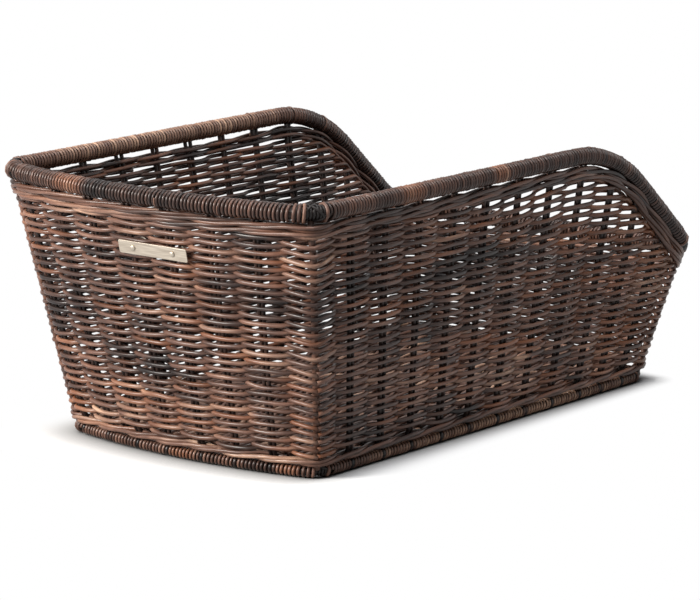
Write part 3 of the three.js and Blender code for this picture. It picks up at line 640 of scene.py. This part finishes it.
def waleStrand(s, level, steep, phase, rng):
    knots = np.arange(math.floor(s.min()) - 3, math.ceil(s.max()) + 4)
    kind = (knots + phase) % 3
    out = np.choose(kind, [wales["out"] * wales["firstShare"], wales["out"], -wales["behind"]])
    rise = np.choose(kind, [-wales["cross"], wales["cross"], 0])
    z = level + steep * between(rise, s - knots[0])
    z = z + wobble(rng, s, *wales["heightJitter"])
    depth = between(out, s - knots[0]) + cornerPush(s, z)
    points = wallPoints(s, z, depth + wobble(rng, s, *wales["depthJitter"]))
    tone, warm = dyed(rng, travelOf(points), wales)
    endsFrom, endsReach = wales["endsFrom"]
    onEnds = np.clip(np.abs(look(rimPlan[:, 0], s)) - endsFrom, 0, endsReach) / endsReach
    tone = tone + wales["toneField"] * toneField(s, level) + wales["endsLight"] * onEnds
    tone = tone + wales["footLight"] * (level < weaving["firstRow"])
    return makeStrand(points, wales["caneRadius"] * (1 + wobble(rng, s, *wales["radiusJitter"])), tone, warm)


for seed, start, drop, shift in wales["bands"]:
    s = fullRound(wales["pointsPerSpace"], start)
    level, steep = np.full(len(s), wales["lowBand"]), 1.0
    if drop is not None:
        level, steep = underRim(s, drop), look(rimSteepness, s)
    for phase in (0, 1, 2):
        giveToWalls(waleStrand(s, level, steep, phase + shift, seeded(seed + phase)), s)
print("wales laid")

for name, strands in wallStrands.items():
    title = "wallWeave" + name.capitalize()
    faces = addCanes(title, strands, 8, len(strands), "weave", ["wall_weave_" + name])
    print("wall", name, len(strands), "canes,", faces, "triangles")

# Stakes in pairs: down a wall, across the floor and up the other wall
stakes = {
    "radius": 1.5, "apart": 1.65,
    "spread": 2.5,  # where they stand free below the rim
    "freeFrom": 7.0,  # below the top of the weave
    "freeReach": 10.0, "freeSide": 0.5, "freeDepth": 0.7, "sideJitter": (40, 0.35), "depthJitter": (30, 0.15),
    "bend": 8.0, "headRoom": 6.0, "pointGap": 6.0, "shortStop": 5.25,
    "tone": 0.26, "toneDye": (0.12, 30, 80), "warm": 0.45, "warmDye": (0.15, 60, 140),
}


def stakeLeg(s, side, rng):
    head = look(rimLevels, s)
    bandTop = head - openBand
    gap = stakes["pointGap"]
    upper = np.linspace(head - stakes["headRoom"], bandTop - gap, 7)
    z = np.concatenate([upper, np.linspace(bandTop - 2 * gap, floorHeight + stakes["bend"], 16)])
    free = softly(np.clip((z - bandTop + stakes["freeFrom"]) / stakes["freeReach"], 0, 1))
    lateral = side * (stakes["apart"] + (stakes["spread"] - stakes["apart"]) * free)
    lateral = lateral + wobble(rng, -z, *stakes["sideJitter"]) + free * rng.normal(0, stakes["freeSide"])
    depth = wobble(rng, -z, *stakes["depthJitter"]) + free * rng.normal(0, stakes["freeDepth"])
    return wallPoints(s, z, depth, lateral)


def stakeBend(s, side, inward):
    levels = np.array([floorHeight, floorHeight + stakes["bend"]])
    elbow, start = wallPoints(s, levels, 0, side * stakes["apart"])
    end = elbow + np.array(inward) * stakes["bend"]
    t = np.linspace(0.15, 1, 7)[:, None]
    return start * (1 - t) ** 2 + 2 * elbow * t * (1 - t) + end * t**2


def stakeStrand(points, rng):
    return makeStrand(points, stakes["radius"], *dyed(rng, travelOf(points), stakes))


crossStrands = []
crossCount = range(1, layout["sideSpaces"])
for i in crossCount:
    across = opposite(i)
    for side in (-1, 1):
        rng = seeded(2000 + 10 * i + side)
        right = np.concatenate([stakeLeg(i, side, rng), stakeBend(i, side, (0, 1, 0))])
        left = np.concatenate([stakeLeg(across, -side, rng), stakeBend(across, -side, (0, -1, 0))])[::-1]
        middle = right[-1] + (left[0] - right[-1]) * np.linspace(0, 1, 8)[1:-1, None]
        crossStrands.append(stakeStrand(np.concatenate([right, middle, left]), rng))
replaced = [f"cross_stake_{i}" for i in crossCount]
addCanes("crossStakes", crossStrands, 8, 21, "stake", replaced)

crossPlaces = np.array([wallPoints(i, floorHeight)[0, 0] for i in crossCount])
endCount = range(1, layout["endSpaces"])
for wall, crossX, inward in (("back", crossPlaces[0], 1), ("front", crossPlaces[-1], -1)):
    strands = []
    start = wallSpans[wall][0]
    for i in endCount:
        for side in (-1, 1):
            rng = seeded(2500 + 10 * (start + i) + side)
            leg = np.concatenate([stakeLeg(start + i, side, rng), stakeBend(start + i, side, (inward, 0, 0))])
            stop = np.array([crossX - inward * stakes["shortStop"], leg[-1, 1], leg[-1, 2]])
            strands.append(stakeStrand(np.concatenate([leg, [leg[-1] * 0.5 + stop * 0.5, stop]]), rng))
    replaced = [f"{wall}_stake_{i}" for i in endCount]
    addCanes(wall + "Stakes", strands, 8, start, "stake", replaced)

posts = {
    "radius": 2.4,
    "shift": 1.2,  # out from the middle of the wall
    "shiftRise": 40,
    "pushShare": 0.93,  # of what the weave is pushed out at the corner
    "freeFrom": 8.0,  # below the rim, where the post comes back under the rod
    "freeReach": 12.0, "foot": 2, "headRoom": 3, "jitter": (40, 0.15), "lighter": 0.24, "warmer": 0.1,
}
strands = []
for corner in corners:
    head = look(rimLevels, corner)
    z = np.linspace(baseCentre + posts["foot"], head - posts["headRoom"], 14)
    rng = seeded(3000 + corner)
    free = np.clip((head - z - posts["freeFrom"]) / posts["freeReach"], 0, 1)
    shift = posts["shift"] * np.clip(z / posts["shiftRise"], 0, 1) + posts["pushShare"] * cornerPush(corner, z)
    points = wallPoints(corner, z, shift * free + wobble(rng, z, *posts["jitter"]))
    tone, warm = dyed(rng, travelOf(points), stakes)
    strands.append(makeStrand(points, posts["radius"], tone + posts["lighter"], warm + posts["warmer"]))
replaced = ["corner_post_" + label for label in cornerPlaces]
addCanes("cornerPosts", strands, 8, 31, "stake", replaced)
print("stakes and posts stand")

# Windings of the rims: one cane wound tight round each rod, from corner to corner
windings = {
    "rimRod": 4.0, "rimCane": 1.25, "rimPitch": 2.95, "rimTrim": 11.0,
    "baseRod": 1.8, "baseCane": 1.33, "basePitch": 3.1, "baseTrim": 9.0,
    "alongJitter": (1.3, 0.14), "outJitter": (0.8, 0.084),  # pitches from swing to swing, and their size
    "pointsPerTurn": 12, "radiusJitter": (4.0, 0.06), "toneJitter": (3.0, 0.075), "blur": 2.5,
    "tone": 0.4, "toneDye": (0.13, 22, 60), "warm": 0.55, "warmDye": (0.1, 25, 60),
    "feet": (0.055, 0.08, 0.3),  # width, tone and warmth at the feet of the stakes
}
windingPatches = {  # place, width, tone and warmth of the lengths where the wound cane is dark, brown or orange
    "rim": [
        # painted light: the first length, on the far side of the rim, is lighter in place of the top light on it
        (28.0, 4.2, 0.85, 0.54), (4.4, 3.6, 0.45, 0.58), (9.6, 2.4, 0.37, 0.54), (33.3, 0.85, 0.48, 0.6),
        (34.62, 0.45, 0.66, 0.8), (2.63, 0.33, 0.68, 0.82), (5.27, 0.24, 0.68, 0.82), (0.9, 0.6, 0.52, 0.64),
        (35.4, 0.3, 0.18, 0.4), (37.6, 1.7, 0.37, 0.56),
    ],
    "base": [
        # painted light: the first length, along the near side of the base, is much lighter in place of light thrown
        # up from the floor
        (6.5, 5.5, 0.94, 0.74), (36.0, 4.4, 0.62, 0.56), (36.4, 0.42, 0.7, 0.84), (39.4, 0.3, 0.7, 0.84),
        (38.6, 0.4, 0.4, 0.5), (34.9, 0.3, 0.45, 0.5),
    ],
}
hoopLines = {"rim": rimLine, "base": baseLine}
hoopTravel = {name: travelOf(np.concatenate([line, line[:1]])) for name, line in hoopLines.items()}
closedGrid = np.concatenate([grid, [wholeRound]])


def alongHoop(name, place):
    return np.interp(place, closedGrid, hoopTravel[name])


def coil(start, end, pitch, firstTurn=0.0):
    # distances along a rod, and the turns round it there
    count = max(int(abs((end - start) / pitch) * windings["pointsPerTurn"]), 6)
    distance = np.linspace(start, end, count)
    return distance, firstTurn + 2 * math.pi * (distance - start) / pitch


def roundRod(name, distance, turn, radius, lowest=0.0):
    # points round a rod's middle line, with the way out from it and their stake counts
    line = hoopLines[name]
    s = np.interp(distance, hoopTravel[name], closedGrid)
    ahead = unit(look(line, s + 0.03) - look(line, s - 0.03))
    out = unit(np.column_stack([ahead[:, 1], -ahead[:, 0], np.zeros(len(ahead))]))
    up = np.cross(out, ahead)
    radius = np.broadcast_to(radius, turn.shape)[:, None]
    points = look(line, s) + out * np.cos(turn)[:, None] * radius + up * np.sin(turn)[:, None] * radius
    points[:, 2] = np.maximum(points[:, 2], lowest)
    return points, out, s


def patched(tone, warm, gap, width, toneThere, warmThere):
    near = np.exp(-(gap / width) ** 4)
    return tone * (1 - near) + toneThere * near, warm * (1 - near) + warmThere * near


(alongStep, alongSize), (outStep, outSize) = windings["alongJitter"], windings["outJitter"]
for name in hoopLines:
    rod, cane, trim, pitch = [windings[name + part] for part in ("Rod", "Cane", "Trim", "Pitch")]
    for wall, (low, high) in wallSpans.items():
        rng = seeded(4000 + low + (50 if name == "rim" else 0))
        distance, turn = coil(alongHoop(name, low) + trim + cane, alongHoop(name, high) - trim - cane, pitch)
        distance = distance + wobble(rng, distance, pitch * alongStep, alongSize)
        radius = rod + cane + wobble(rng, distance, pitch * outStep, outSize)
        points, out, s = roundRod(name, distance, turn, radius, windings["baseCane"] * 1.12)
        tone, warm = dyed(rng, alongHoop(name, s % wholeRound), windings, windings["blur"])
        for place, *patch in windingPatches[name]:
            tone, warm = patched(tone, warm, awayFrom(s, place), *patch)
        if name == "base":  # the feet of the stakes show as a dark turn or two
            tone, warm = patched(tone, warm, s - np.round(s), *windings["feet"])
        tone = tone + wobble(rng, turn, *windings["toneJitter"])
        strand = makeStrand(points, cane * (1 + wobble(rng, turn, *windings["radiusJitter"])), tone, warm)
        title = name + "Winding" + wall.capitalize()
        addCanes(title, [strand], 6, low + 3, "winding", [f"{name}_winding_{wall}"])
print("rims wound")

# Corner lashings: crossed dark canes over a dark core, with light turns at both ends
lashings = {
    "rimLength": 22.0, "rimCane": 1.2, "baseLength": 18.0, "baseCane": 1.15,
    "core": {"pitch": 2.1, "radius": 0.95, "lift": 0.5, "tone": 0.06, "warm": 0.4},
    "crossed": {"pitch": 30.0, "radius": 1.0, "lift": 1.3, "tone": 0.14, "toneJitter": 0.08, "warm": 0.45},
    "crossings": ((0.4, 1), (3.5, 1), (2.0, -1)),  # first turn, and the way it is wound
    "light": {"pitch": 2.4, "inset": 1.4, "lift": 0.5, "tone": 0.44, "toneJitter": 0.06, "warm": 0.55},
    "innermost": {"lift": 0.75, "tone": 0.62},
    "lightStep": 2.5, "lightStart": -2.2,
}


def cornerLashing(name, place):
    rod = windings[name + "Rod"]
    cane = lashings[name + "Cane"]
    half = lashings[name + "Length"] / 2
    core, crossed, light = lashings["core"], lashings["crossed"], lashings["light"]
    middle = alongHoop(name, place % wholeRound)
    rng = seeded(5000 + place + (7 if name == "rim" else 0))

    def around(start, end, pitch, lift, firstTurn):
        distance, turn = coil(start, end, pitch, firstTurn)
        return roundRod(name, (middle + distance) % hoopTravel[name][-1], turn, rod + lift, cane * 1.06)[0]

    line = around(-half, half, core["pitch"], core["lift"], 0.0)
    strands = [makeStrand(line, core["radius"], core["tone"], core["warm"])]
    # more light turns on the side of the end wall, fewer on the side of the long wall
    turns = {-1: 3, 1: 1} if place in (cornerPlaces["front_left"], cornerPlaces["back_right"]) else {-1: 1, 1: 3}
    low = -half + lashings["lightStep"] * turns[-1]
    high = half - lashings["lightStep"] * turns[1]
    for firstTurn, way in lashings["crossings"]:
        line = around(low, high, way * crossed["pitch"], crossed["lift"], firstTurn)
        tone = crossed["tone"] + rng.uniform(-crossed["toneJitter"], crossed["toneJitter"])
        strands.append(makeStrand(line, crossed["radius"], tone, crossed["warm"]))
    for end in (-1, 1):
        for turn in range(turns[end]):
            chosen = lashings["innermost"] if turn == turns[end] - 1 else light
            at = end * (half - light["inset"] - turn * lashings["lightStep"])
            start, stop = at - light["pitch"] / 2, at + light["pitch"] / 2
            line = around(start, stop, light["pitch"], cane + chosen["lift"], lashings["lightStart"] - turn)
            tone = chosen["tone"] + rng.uniform(-light["toneJitter"], light["toneJitter"])
            strands.append(makeStrand(line, cane, tone, light["warm"]))
    return strands


for name in hoopLines:
    for label, place in cornerPlaces.items():
        title = name + "Lashing" + label.title().replace("_", "")
        strands = cornerLashing(name, place)
        addCanes(title, strands, 8, place + 5, "lashing", [f"{name}_lashing_{label}"])
print("corners lashed")

# Loops of the stake ends over the upper rim, near the shoulders and on the high end
rimLoops = {
    "radius": 0.65, "sink": 0.95, "drift": 0.9, "tailDrop": (6, 1.2), "tailOut": (1.2, 0.3),
    "tone": (0.5, 0.8), "warm": (0.4, 0.6),
    "inner": {"places": (6.88, 8.12, 9.1, 22.9, 23.88, 25.12), "turn": (262, 70)},
    "outer": {"places": (33.08, 34.1, 36.9, 38.3), "turn": (266, 372)},
}
rng = seeded(77)
ring = windings["rimRod"] + 2 * windings["rimCane"] + rimLoops["radius"] - rimLoops["sink"]
strands = []
for side in ("inner", "outer"):
    for place in rimLoops[side]["places"]:
        turn = np.radians(np.linspace(*rimLoops[side]["turn"], 16))
        drift = np.linspace(-rimLoops["drift"], rimLoops["drift"], len(turn)) * rng.uniform(0.5, 1.2)
        curl, out, s = roundRod("rim", alongHoop("rim", place) + drift, turn, ring)
        tail = curl[0] + np.array([0, 0, -1.0]) * np.linspace(*rimLoops["tailDrop"], 4)[:, None]
        tail = tail + out[:1] * np.linspace(*rimLoops["tailOut"], 4)[:, None]
        looks = [rng.uniform(*rimLoops[key]) for key in ("tone", "warm")]
        strands.append(makeStrand(np.concatenate([tail, curl]), rimLoops["radius"], *looks))
addCanes("rimLoops", strands, 8, 61, "winding")
print("loops over the rim:", len(strands))

# Floor: rows along the basket, over and under the stakes that cross it
floor = {
    "pitch": 2.95, "halfWidth": 103.0, "inset": 5.5,
    "cornerFrom": 95,  # the outermost rows are shorter, by half of what they lie beyond this
    "swing": 2.95, "sideJitter": (14, 0.22), "heightJitter": (14, 0.12), "pointsPerSpace": 8,
    "caneRadius": 1.42, "tone": 0.63, "toneDye": (0.28, 30, 80), "warm": 0.42, "warmDye": (0.25, 40, 120),
}
rowTotal = int(2 * floor["halfWidth"] / floor["pitch"]) + 1
frontPart = basePlan[(grid >= wallSpans["front"][0]) & (grid < wallSpans["front"][1])]
backPart = basePlan[grid >= wallSpans["back"][0]][::-1]
strands = []
lastCross = len(crossPlaces) - 1
count = np.linspace(0, lastCross, lastCross * floor["pointsPerSpace"] + 1)
inner = np.interp(count, np.arange(lastCross + 1), crossPlaces)
count = np.concatenate([[0, 0], count, [lastCross, lastCross]])
for row, y in enumerate(np.linspace(-floor["halfWidth"], floor["halfWidth"], rowTotal)):
    short = floor["inset"] + max(abs(y) - floor["cornerFrom"], 0) * 0.5
    low = np.interp(y, backPart[:, 1], backPart[:, 0]) + short
    high = np.interp(y, frontPart[:, 1], frontPart[:, 0]) - short
    x = np.concatenate([[low, (low + inner[0]) / 2], inner, [(high + inner[-1]) / 2, high]])
    z = floorHeight + floor["swing"] * overUnder(count, row)
    rng = seeded(6000 + row)
    side = y + wobble(rng, x, *floor["sideJitter"])
    points = np.column_stack([x, side, z + wobble(rng, x, *floor["heightJitter"])])
    strands.append(makeStrand(points, floor["caneRadius"], *dyed(rng, travelOf(points), floor)))
faces = addCanes("floorWeave", strands, 6, 71, "weave", ["floor_weave"])
print("floor laid,", faces, "triangles")

# Plate on the high end, with its pins and washers
plate = {
    "height": 9.5, "thickness": 1.0, "level": 154.8,
    "lean": (36.66, 170.0, 130.0),  # it leans as the wall does at this place, between these heights
    "edge": 0.22, "corner": 1.2,
}
low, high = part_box("plate")
plateCentre = (low + high) / 2
ends = wallPoints((highEndMiddle, highEndMiddle + 1), plate["level"])
sideWay = Vector(ends[1] - ends[0]).normalized()
ends = wallPoints(plate["lean"][0], plate["lean"][1:])
rulingWay = Vector(ends[0] - ends[1]).normalized()
outWay = sideWay.cross(rulingWay).normalized()
upWay = outWay.cross(sideWay).normalized()
plateTurn = Matrix((sideWay, upWay, outWay)).transposed().to_4x4()


def spread(node, way):
    # from where to where a node reaches in one direction
    places = [Vector(v.co).dot(way) for v in nodes[node].data.vertices]
    return min(places), max(places)


def metalMaterial(name, colours, rough, brush):
    material = bpy.data.materials.new(name)
    add, maths = nodeMaker(material)
    place = add("Mapping", {"Vector": add("TexCoord").outputs["Object"], "Scale": brush})
    lines = noise(add, place.outputs["Vector"], 1, 4)
    colour = colourRamp(add, lines, list(zip((0.3, 0.75), colours)))
    finishShader(add, maths, colour, lines, rough, roughSwing=0.25, strength=0.12, depth=0.2 * metre, Metallic=0.85)
    return material


plateMetal = metalMaterial("PaleBrushedMetal", ("ada193", "cfc5b6"), 0.42, (900, 60, 900))
pinMetal = metalMaterial("PinMetal", ("a2988b", "cbc2b4"), 0.4, (300, 300, 300))

sideSpan = spread("plate", sideWay)
size = Vector((sideSpan[1] - sideSpan[0], plate["height"] * metre, plate["thickness"] * metre))
work = bmesh.new()
bmesh.ops.create_cube(work, size=1)
bmesh.ops.scale(work, vec=size, verts=work.verts)
upright = [e for e in work.edges if abs(e.verts[0].co.z - e.verts[1].co.z) > size.z * 0.5]
corner, edge = plate["corner"] * metre, plate["edge"] * metre
bmesh.ops.bevel(work, geom=upright, offset=corner, affect="EDGES", segments=4, profile=0.5, material=-1)
rimEdges = [e for e in work.edges if abs(e.verts[0].co.z - e.verts[1].co.z) < size.z * 0.1]
bmesh.ops.bevel(work, geom=rimEdges, offset=edge, affect="EDGES", segments=2, profile=0.5, material=-1)
bmesh.ops.transform(work, matrix=Matrix.Translation(plateCentre) @ plateTurn, verts=work.verts)
mesh = meshFrom(work, bpy.data.meshes.new("platePlain"))
addPiece("platePlain", mesh, plateMetal, ["plate"])
print("plate", round(size.x / metre, 1), "mm long")

pins = {
    "shank": 1.2, "head": 2.0,
    "crown": ((0.8, 1), (0.45, 0.98), (0.14, 0.7), (0.02, 0.35)),  # depth below the front, share of the head
}
washers = {"outer": 3.5, "inner": 1.5, "soft": 0.15}
spinSteps = 20


def spinPiece(title, node, axisStart, profile, ring=False):
    # turns pairs of a place along the pin and a radius round its middle line
    work = bmesh.new()
    verts = [work.verts.new(axisStart + outWay * along + sideWay * radius * metre) for along, radius in profile]
    following = verts[1:] + verts[:1] if ring else verts[1:]
    edges = [work.edges.new(pair) for pair in zip(verts, following)]
    bmesh.ops.spin(
        work, geom=verts + edges, cent=axisStart, axis=outWay, angle=2 * math.pi, steps=spinSteps, use_merge=True,
    )
    bmesh.ops.remove_doubles(work, verts=work.verts, dist=1e-6)
    bmesh.ops.recalc_face_normals(work, faces=work.faces)
    mesh = meshFrom(work, bpy.data.meshes.new(title))
    if not ring:
        mesh.shade_smooth()
    addPiece(title, mesh, pinMetal, [node])


for i in (1, 2):
    pinNode = f"plate_pin_{i}"
    axisStart = sum((way * (sum(spread(pinNode, way)) / 2) for way in (sideWay, upWay)), Vector())
    back, front = spread(pinNode, outWay)
    crown = [(front - depth * metre, pins["head"] * share) for depth, share in pins["crown"]]
    shank = [(back, 0), (back, pins["shank"]), (crown[0][0], pins["shank"])]
    spinPiece(f"platePin{i}", pinNode, axisStart, [*shank, *crown, (front, 0)])

    washerNode = f"plate_washer_{i}"
    back, front = spread(washerNode, outWay)
    outer, inner, soft = washers["outer"], washers["inner"], washers["soft"]
    softBack, softFront = back + soft * metre, front - soft * metre
    spinPiece(f"plateWasher{i}", washerNode, axisStart, [
        (softBack, outer), (back, outer - soft), (back, inner + soft), (softBack, inner),
        (softFront, inner), (front, inner + soft), (front, outer - soft), (softFront, outer),
    ], ring=True)
print("pins and washers set")

# The rods stay as they are inside their windings, with a wood finish
rodWood = bpy.data.materials.new("RodWood")
add, maths = nodeMaker(rodWood)
rings = noise(add, add("TexCoord").outputs["Object"], 120, 4)
colour = colourRamp(add, rings, [(0, "140e0c"), (1, "33241d")])
wood = add("BsdfPrincipled", {"Base Color": colour, "Roughness": 0.7})
add("OutputMaterial", {"Surface": wood.outputs["BSDF"]})
for node in ("top_rim_rod", "base_rim_rod"):
    for materialSlot in nodes[node].material_slots:
        materialSlot.material = rodWood

# Floor, light and camera
studio = {
    "floorLift": -0.0002, "floorSize": 6.0, "footprint": (0.205, 0.111, 0),
    "worldFill": 0.1, "seenPaper": (0.915, 0.93, 0.955), "litPaper": 0.4,
    "shadeReach": 0.034, "fadeFrom": 0.006, "fadeTo": 0.046, "lampSideShade": 1.0, "farSideShade": 1.9,
}
work = bmesh.new()
bmesh.ops.create_grid(work, x_segments=1, y_segments=1, size=studio["floorSize"])
bmesh.ops.translate(work, vec=(0, 0, studio["floorLift"]), verts=work.verts)
mesh = meshFrom(work, bpy.data.meshes.new("studioFloor"))
studioFloor = newObject("studioFloor", mesh)


def seenRay(maths, rays):
    # 1 for the camera, and for what metal or glass shows of the background
    seen = rays.outputs["Is Camera Ray"]
    for label in ("Is Glossy Ray", "Is Transmission Ray"):
        seen = maths("MAXIMUM", seen, rays.outputs[label])
    return seen


paper = bpy.data.materials.new("StudioPaper")
add, maths = nodeMaker(paper)
rays = add("LightPath")
# painted shadow: for the camera, ambient occlusion darkens the floor's colour near the basket
shade = add("AmbientOcclusion", {"Distance": studio["shadeReach"], "Color": (*studio["seenPaper"], 1)}, samples=8)
paperColour = add("Mix", {
    "Factor": rays.outputs["Is Camera Ray"],
    "A": (*[studio["litPaper"]] * 3, 1),
    "B": shade.outputs["Color"],
}, data_type="RGBA")
diffuse = add("BsdfDiffuse", {"Color": paperColour.outputs["Result"]})
# plain white for the camera beyond the shadow
place = add("TexCoord").outputs["Object"]
way = place
footprint = {"ABSOLUTE": {}, "SUBTRACT": {1: studio["footprint"]}, "MAXIMUM": {1: (0, 0, 0)}, "LENGTH": {}}
for operation, limit in footprint.items():
    away = add("VectorMath", {0: way, **limit}, operation=operation)
    way = away.outputs["Value" if operation == "LENGTH" else "Vector"]
# the shade reaches less far where the basket turns away from the lamp
lean = add("MapRange", {
    "Value": add("SeparateXYZ", {0: place}).outputs["X"],
    "From Min": -studio["footprint"][0],
    "From Max": studio["footprint"][0],
    "To Min": studio["lampSideShade"],
    "To Max": studio["farSideShade"],
})
fade = add("MapRange", {
    "Value": maths("MULTIPLY", way, lean.outputs["Result"]),
    "From Min": studio["fadeFrom"],
    "From Max": studio["fadeTo"],
}, interpolation_type="SMOOTHSTEP")
seenFade = maths("MULTIPLY", fade.outputs["Result"], seenRay(maths, rays))
mixed = add("MixShader", {"Fac": seenFade, 1: diffuse.outputs[0], 2: add("Emission").outputs[0]})
add("OutputMaterial", {"Surface": mixed.outputs[0]})
mesh.materials.append(paper)

world = bpy.data.worlds.new("Studio")
bpy.context.scene.world = world
add, maths = nodeMaker(world)
fill = studio["worldFill"]
strength = maths("MULTIPLY_ADD", seenRay(maths, add("LightPath")), 1 - fill, fill)
sky = add("Background", {"Color": (1, 1, 1, 1), "Strength": strength})
add("OutputWorld", {"Surface": sky.outputs[0]})

lamps = {
    "key": {"place": (-2.0, 0.95, 1.05), "size": 0.7, "power": 112, "colour": (1, 0.96, 0.9)},
    "top": {"place": (-0.25, -0.5, 2.15), "size": 1.2, "power": 46, "colour": (1, 0.99, 0.98)},
}
aim = Vector((0, 0, 0.09))
for name, lamp in lamps.items():
    light = bpy.data.lights.new(name + "Lamp", "AREA")
    light.shape = "SQUARE"
    light.size = lamp["size"]
    light.energy = lamp["power"]
    light.color = lamp["colour"]
    holder = newObject(name + "Lamp", light)
    holder.location = lamp["place"]
    holder.rotation_euler = (aim - Vector(lamp["place"])).to_track_quat("-Z", "Y").to_euler()

camera = {
    "azimuth": -51.13, "elevation": 12.05, "distance": 3.099,
    "target": (0.0064, 0.0089, 0.0773), "lens": 220.7, "sensor": 36, "clip": (0.1, 50),
}
turnA, turnE = math.radians(camera["azimuth"]), math.radians(camera["elevation"])
back = Vector((math.sin(turnA) * math.cos(turnE), -math.cos(turnA) * math.cos(turnE), math.sin(turnE)))
cameraData = bpy.data.cameras.new("photoCamera")
cameraData.lens = camera["lens"]
cameraData.sensor_width = camera["sensor"]
cameraData.clip_start, cameraData.clip_end = camera["clip"]
cameraObject = newObject("photoCamera", cameraData)
cameraObject.location = Vector(camera["target"]) + back * camera["distance"]
cameraObject.rotation_euler = (-back).to_track_quat("-Z", "Y").to_euler()
bpy.context.scene.camera = cameraObject
bpy.context.scene.view_settings.view_transform = "Standard"
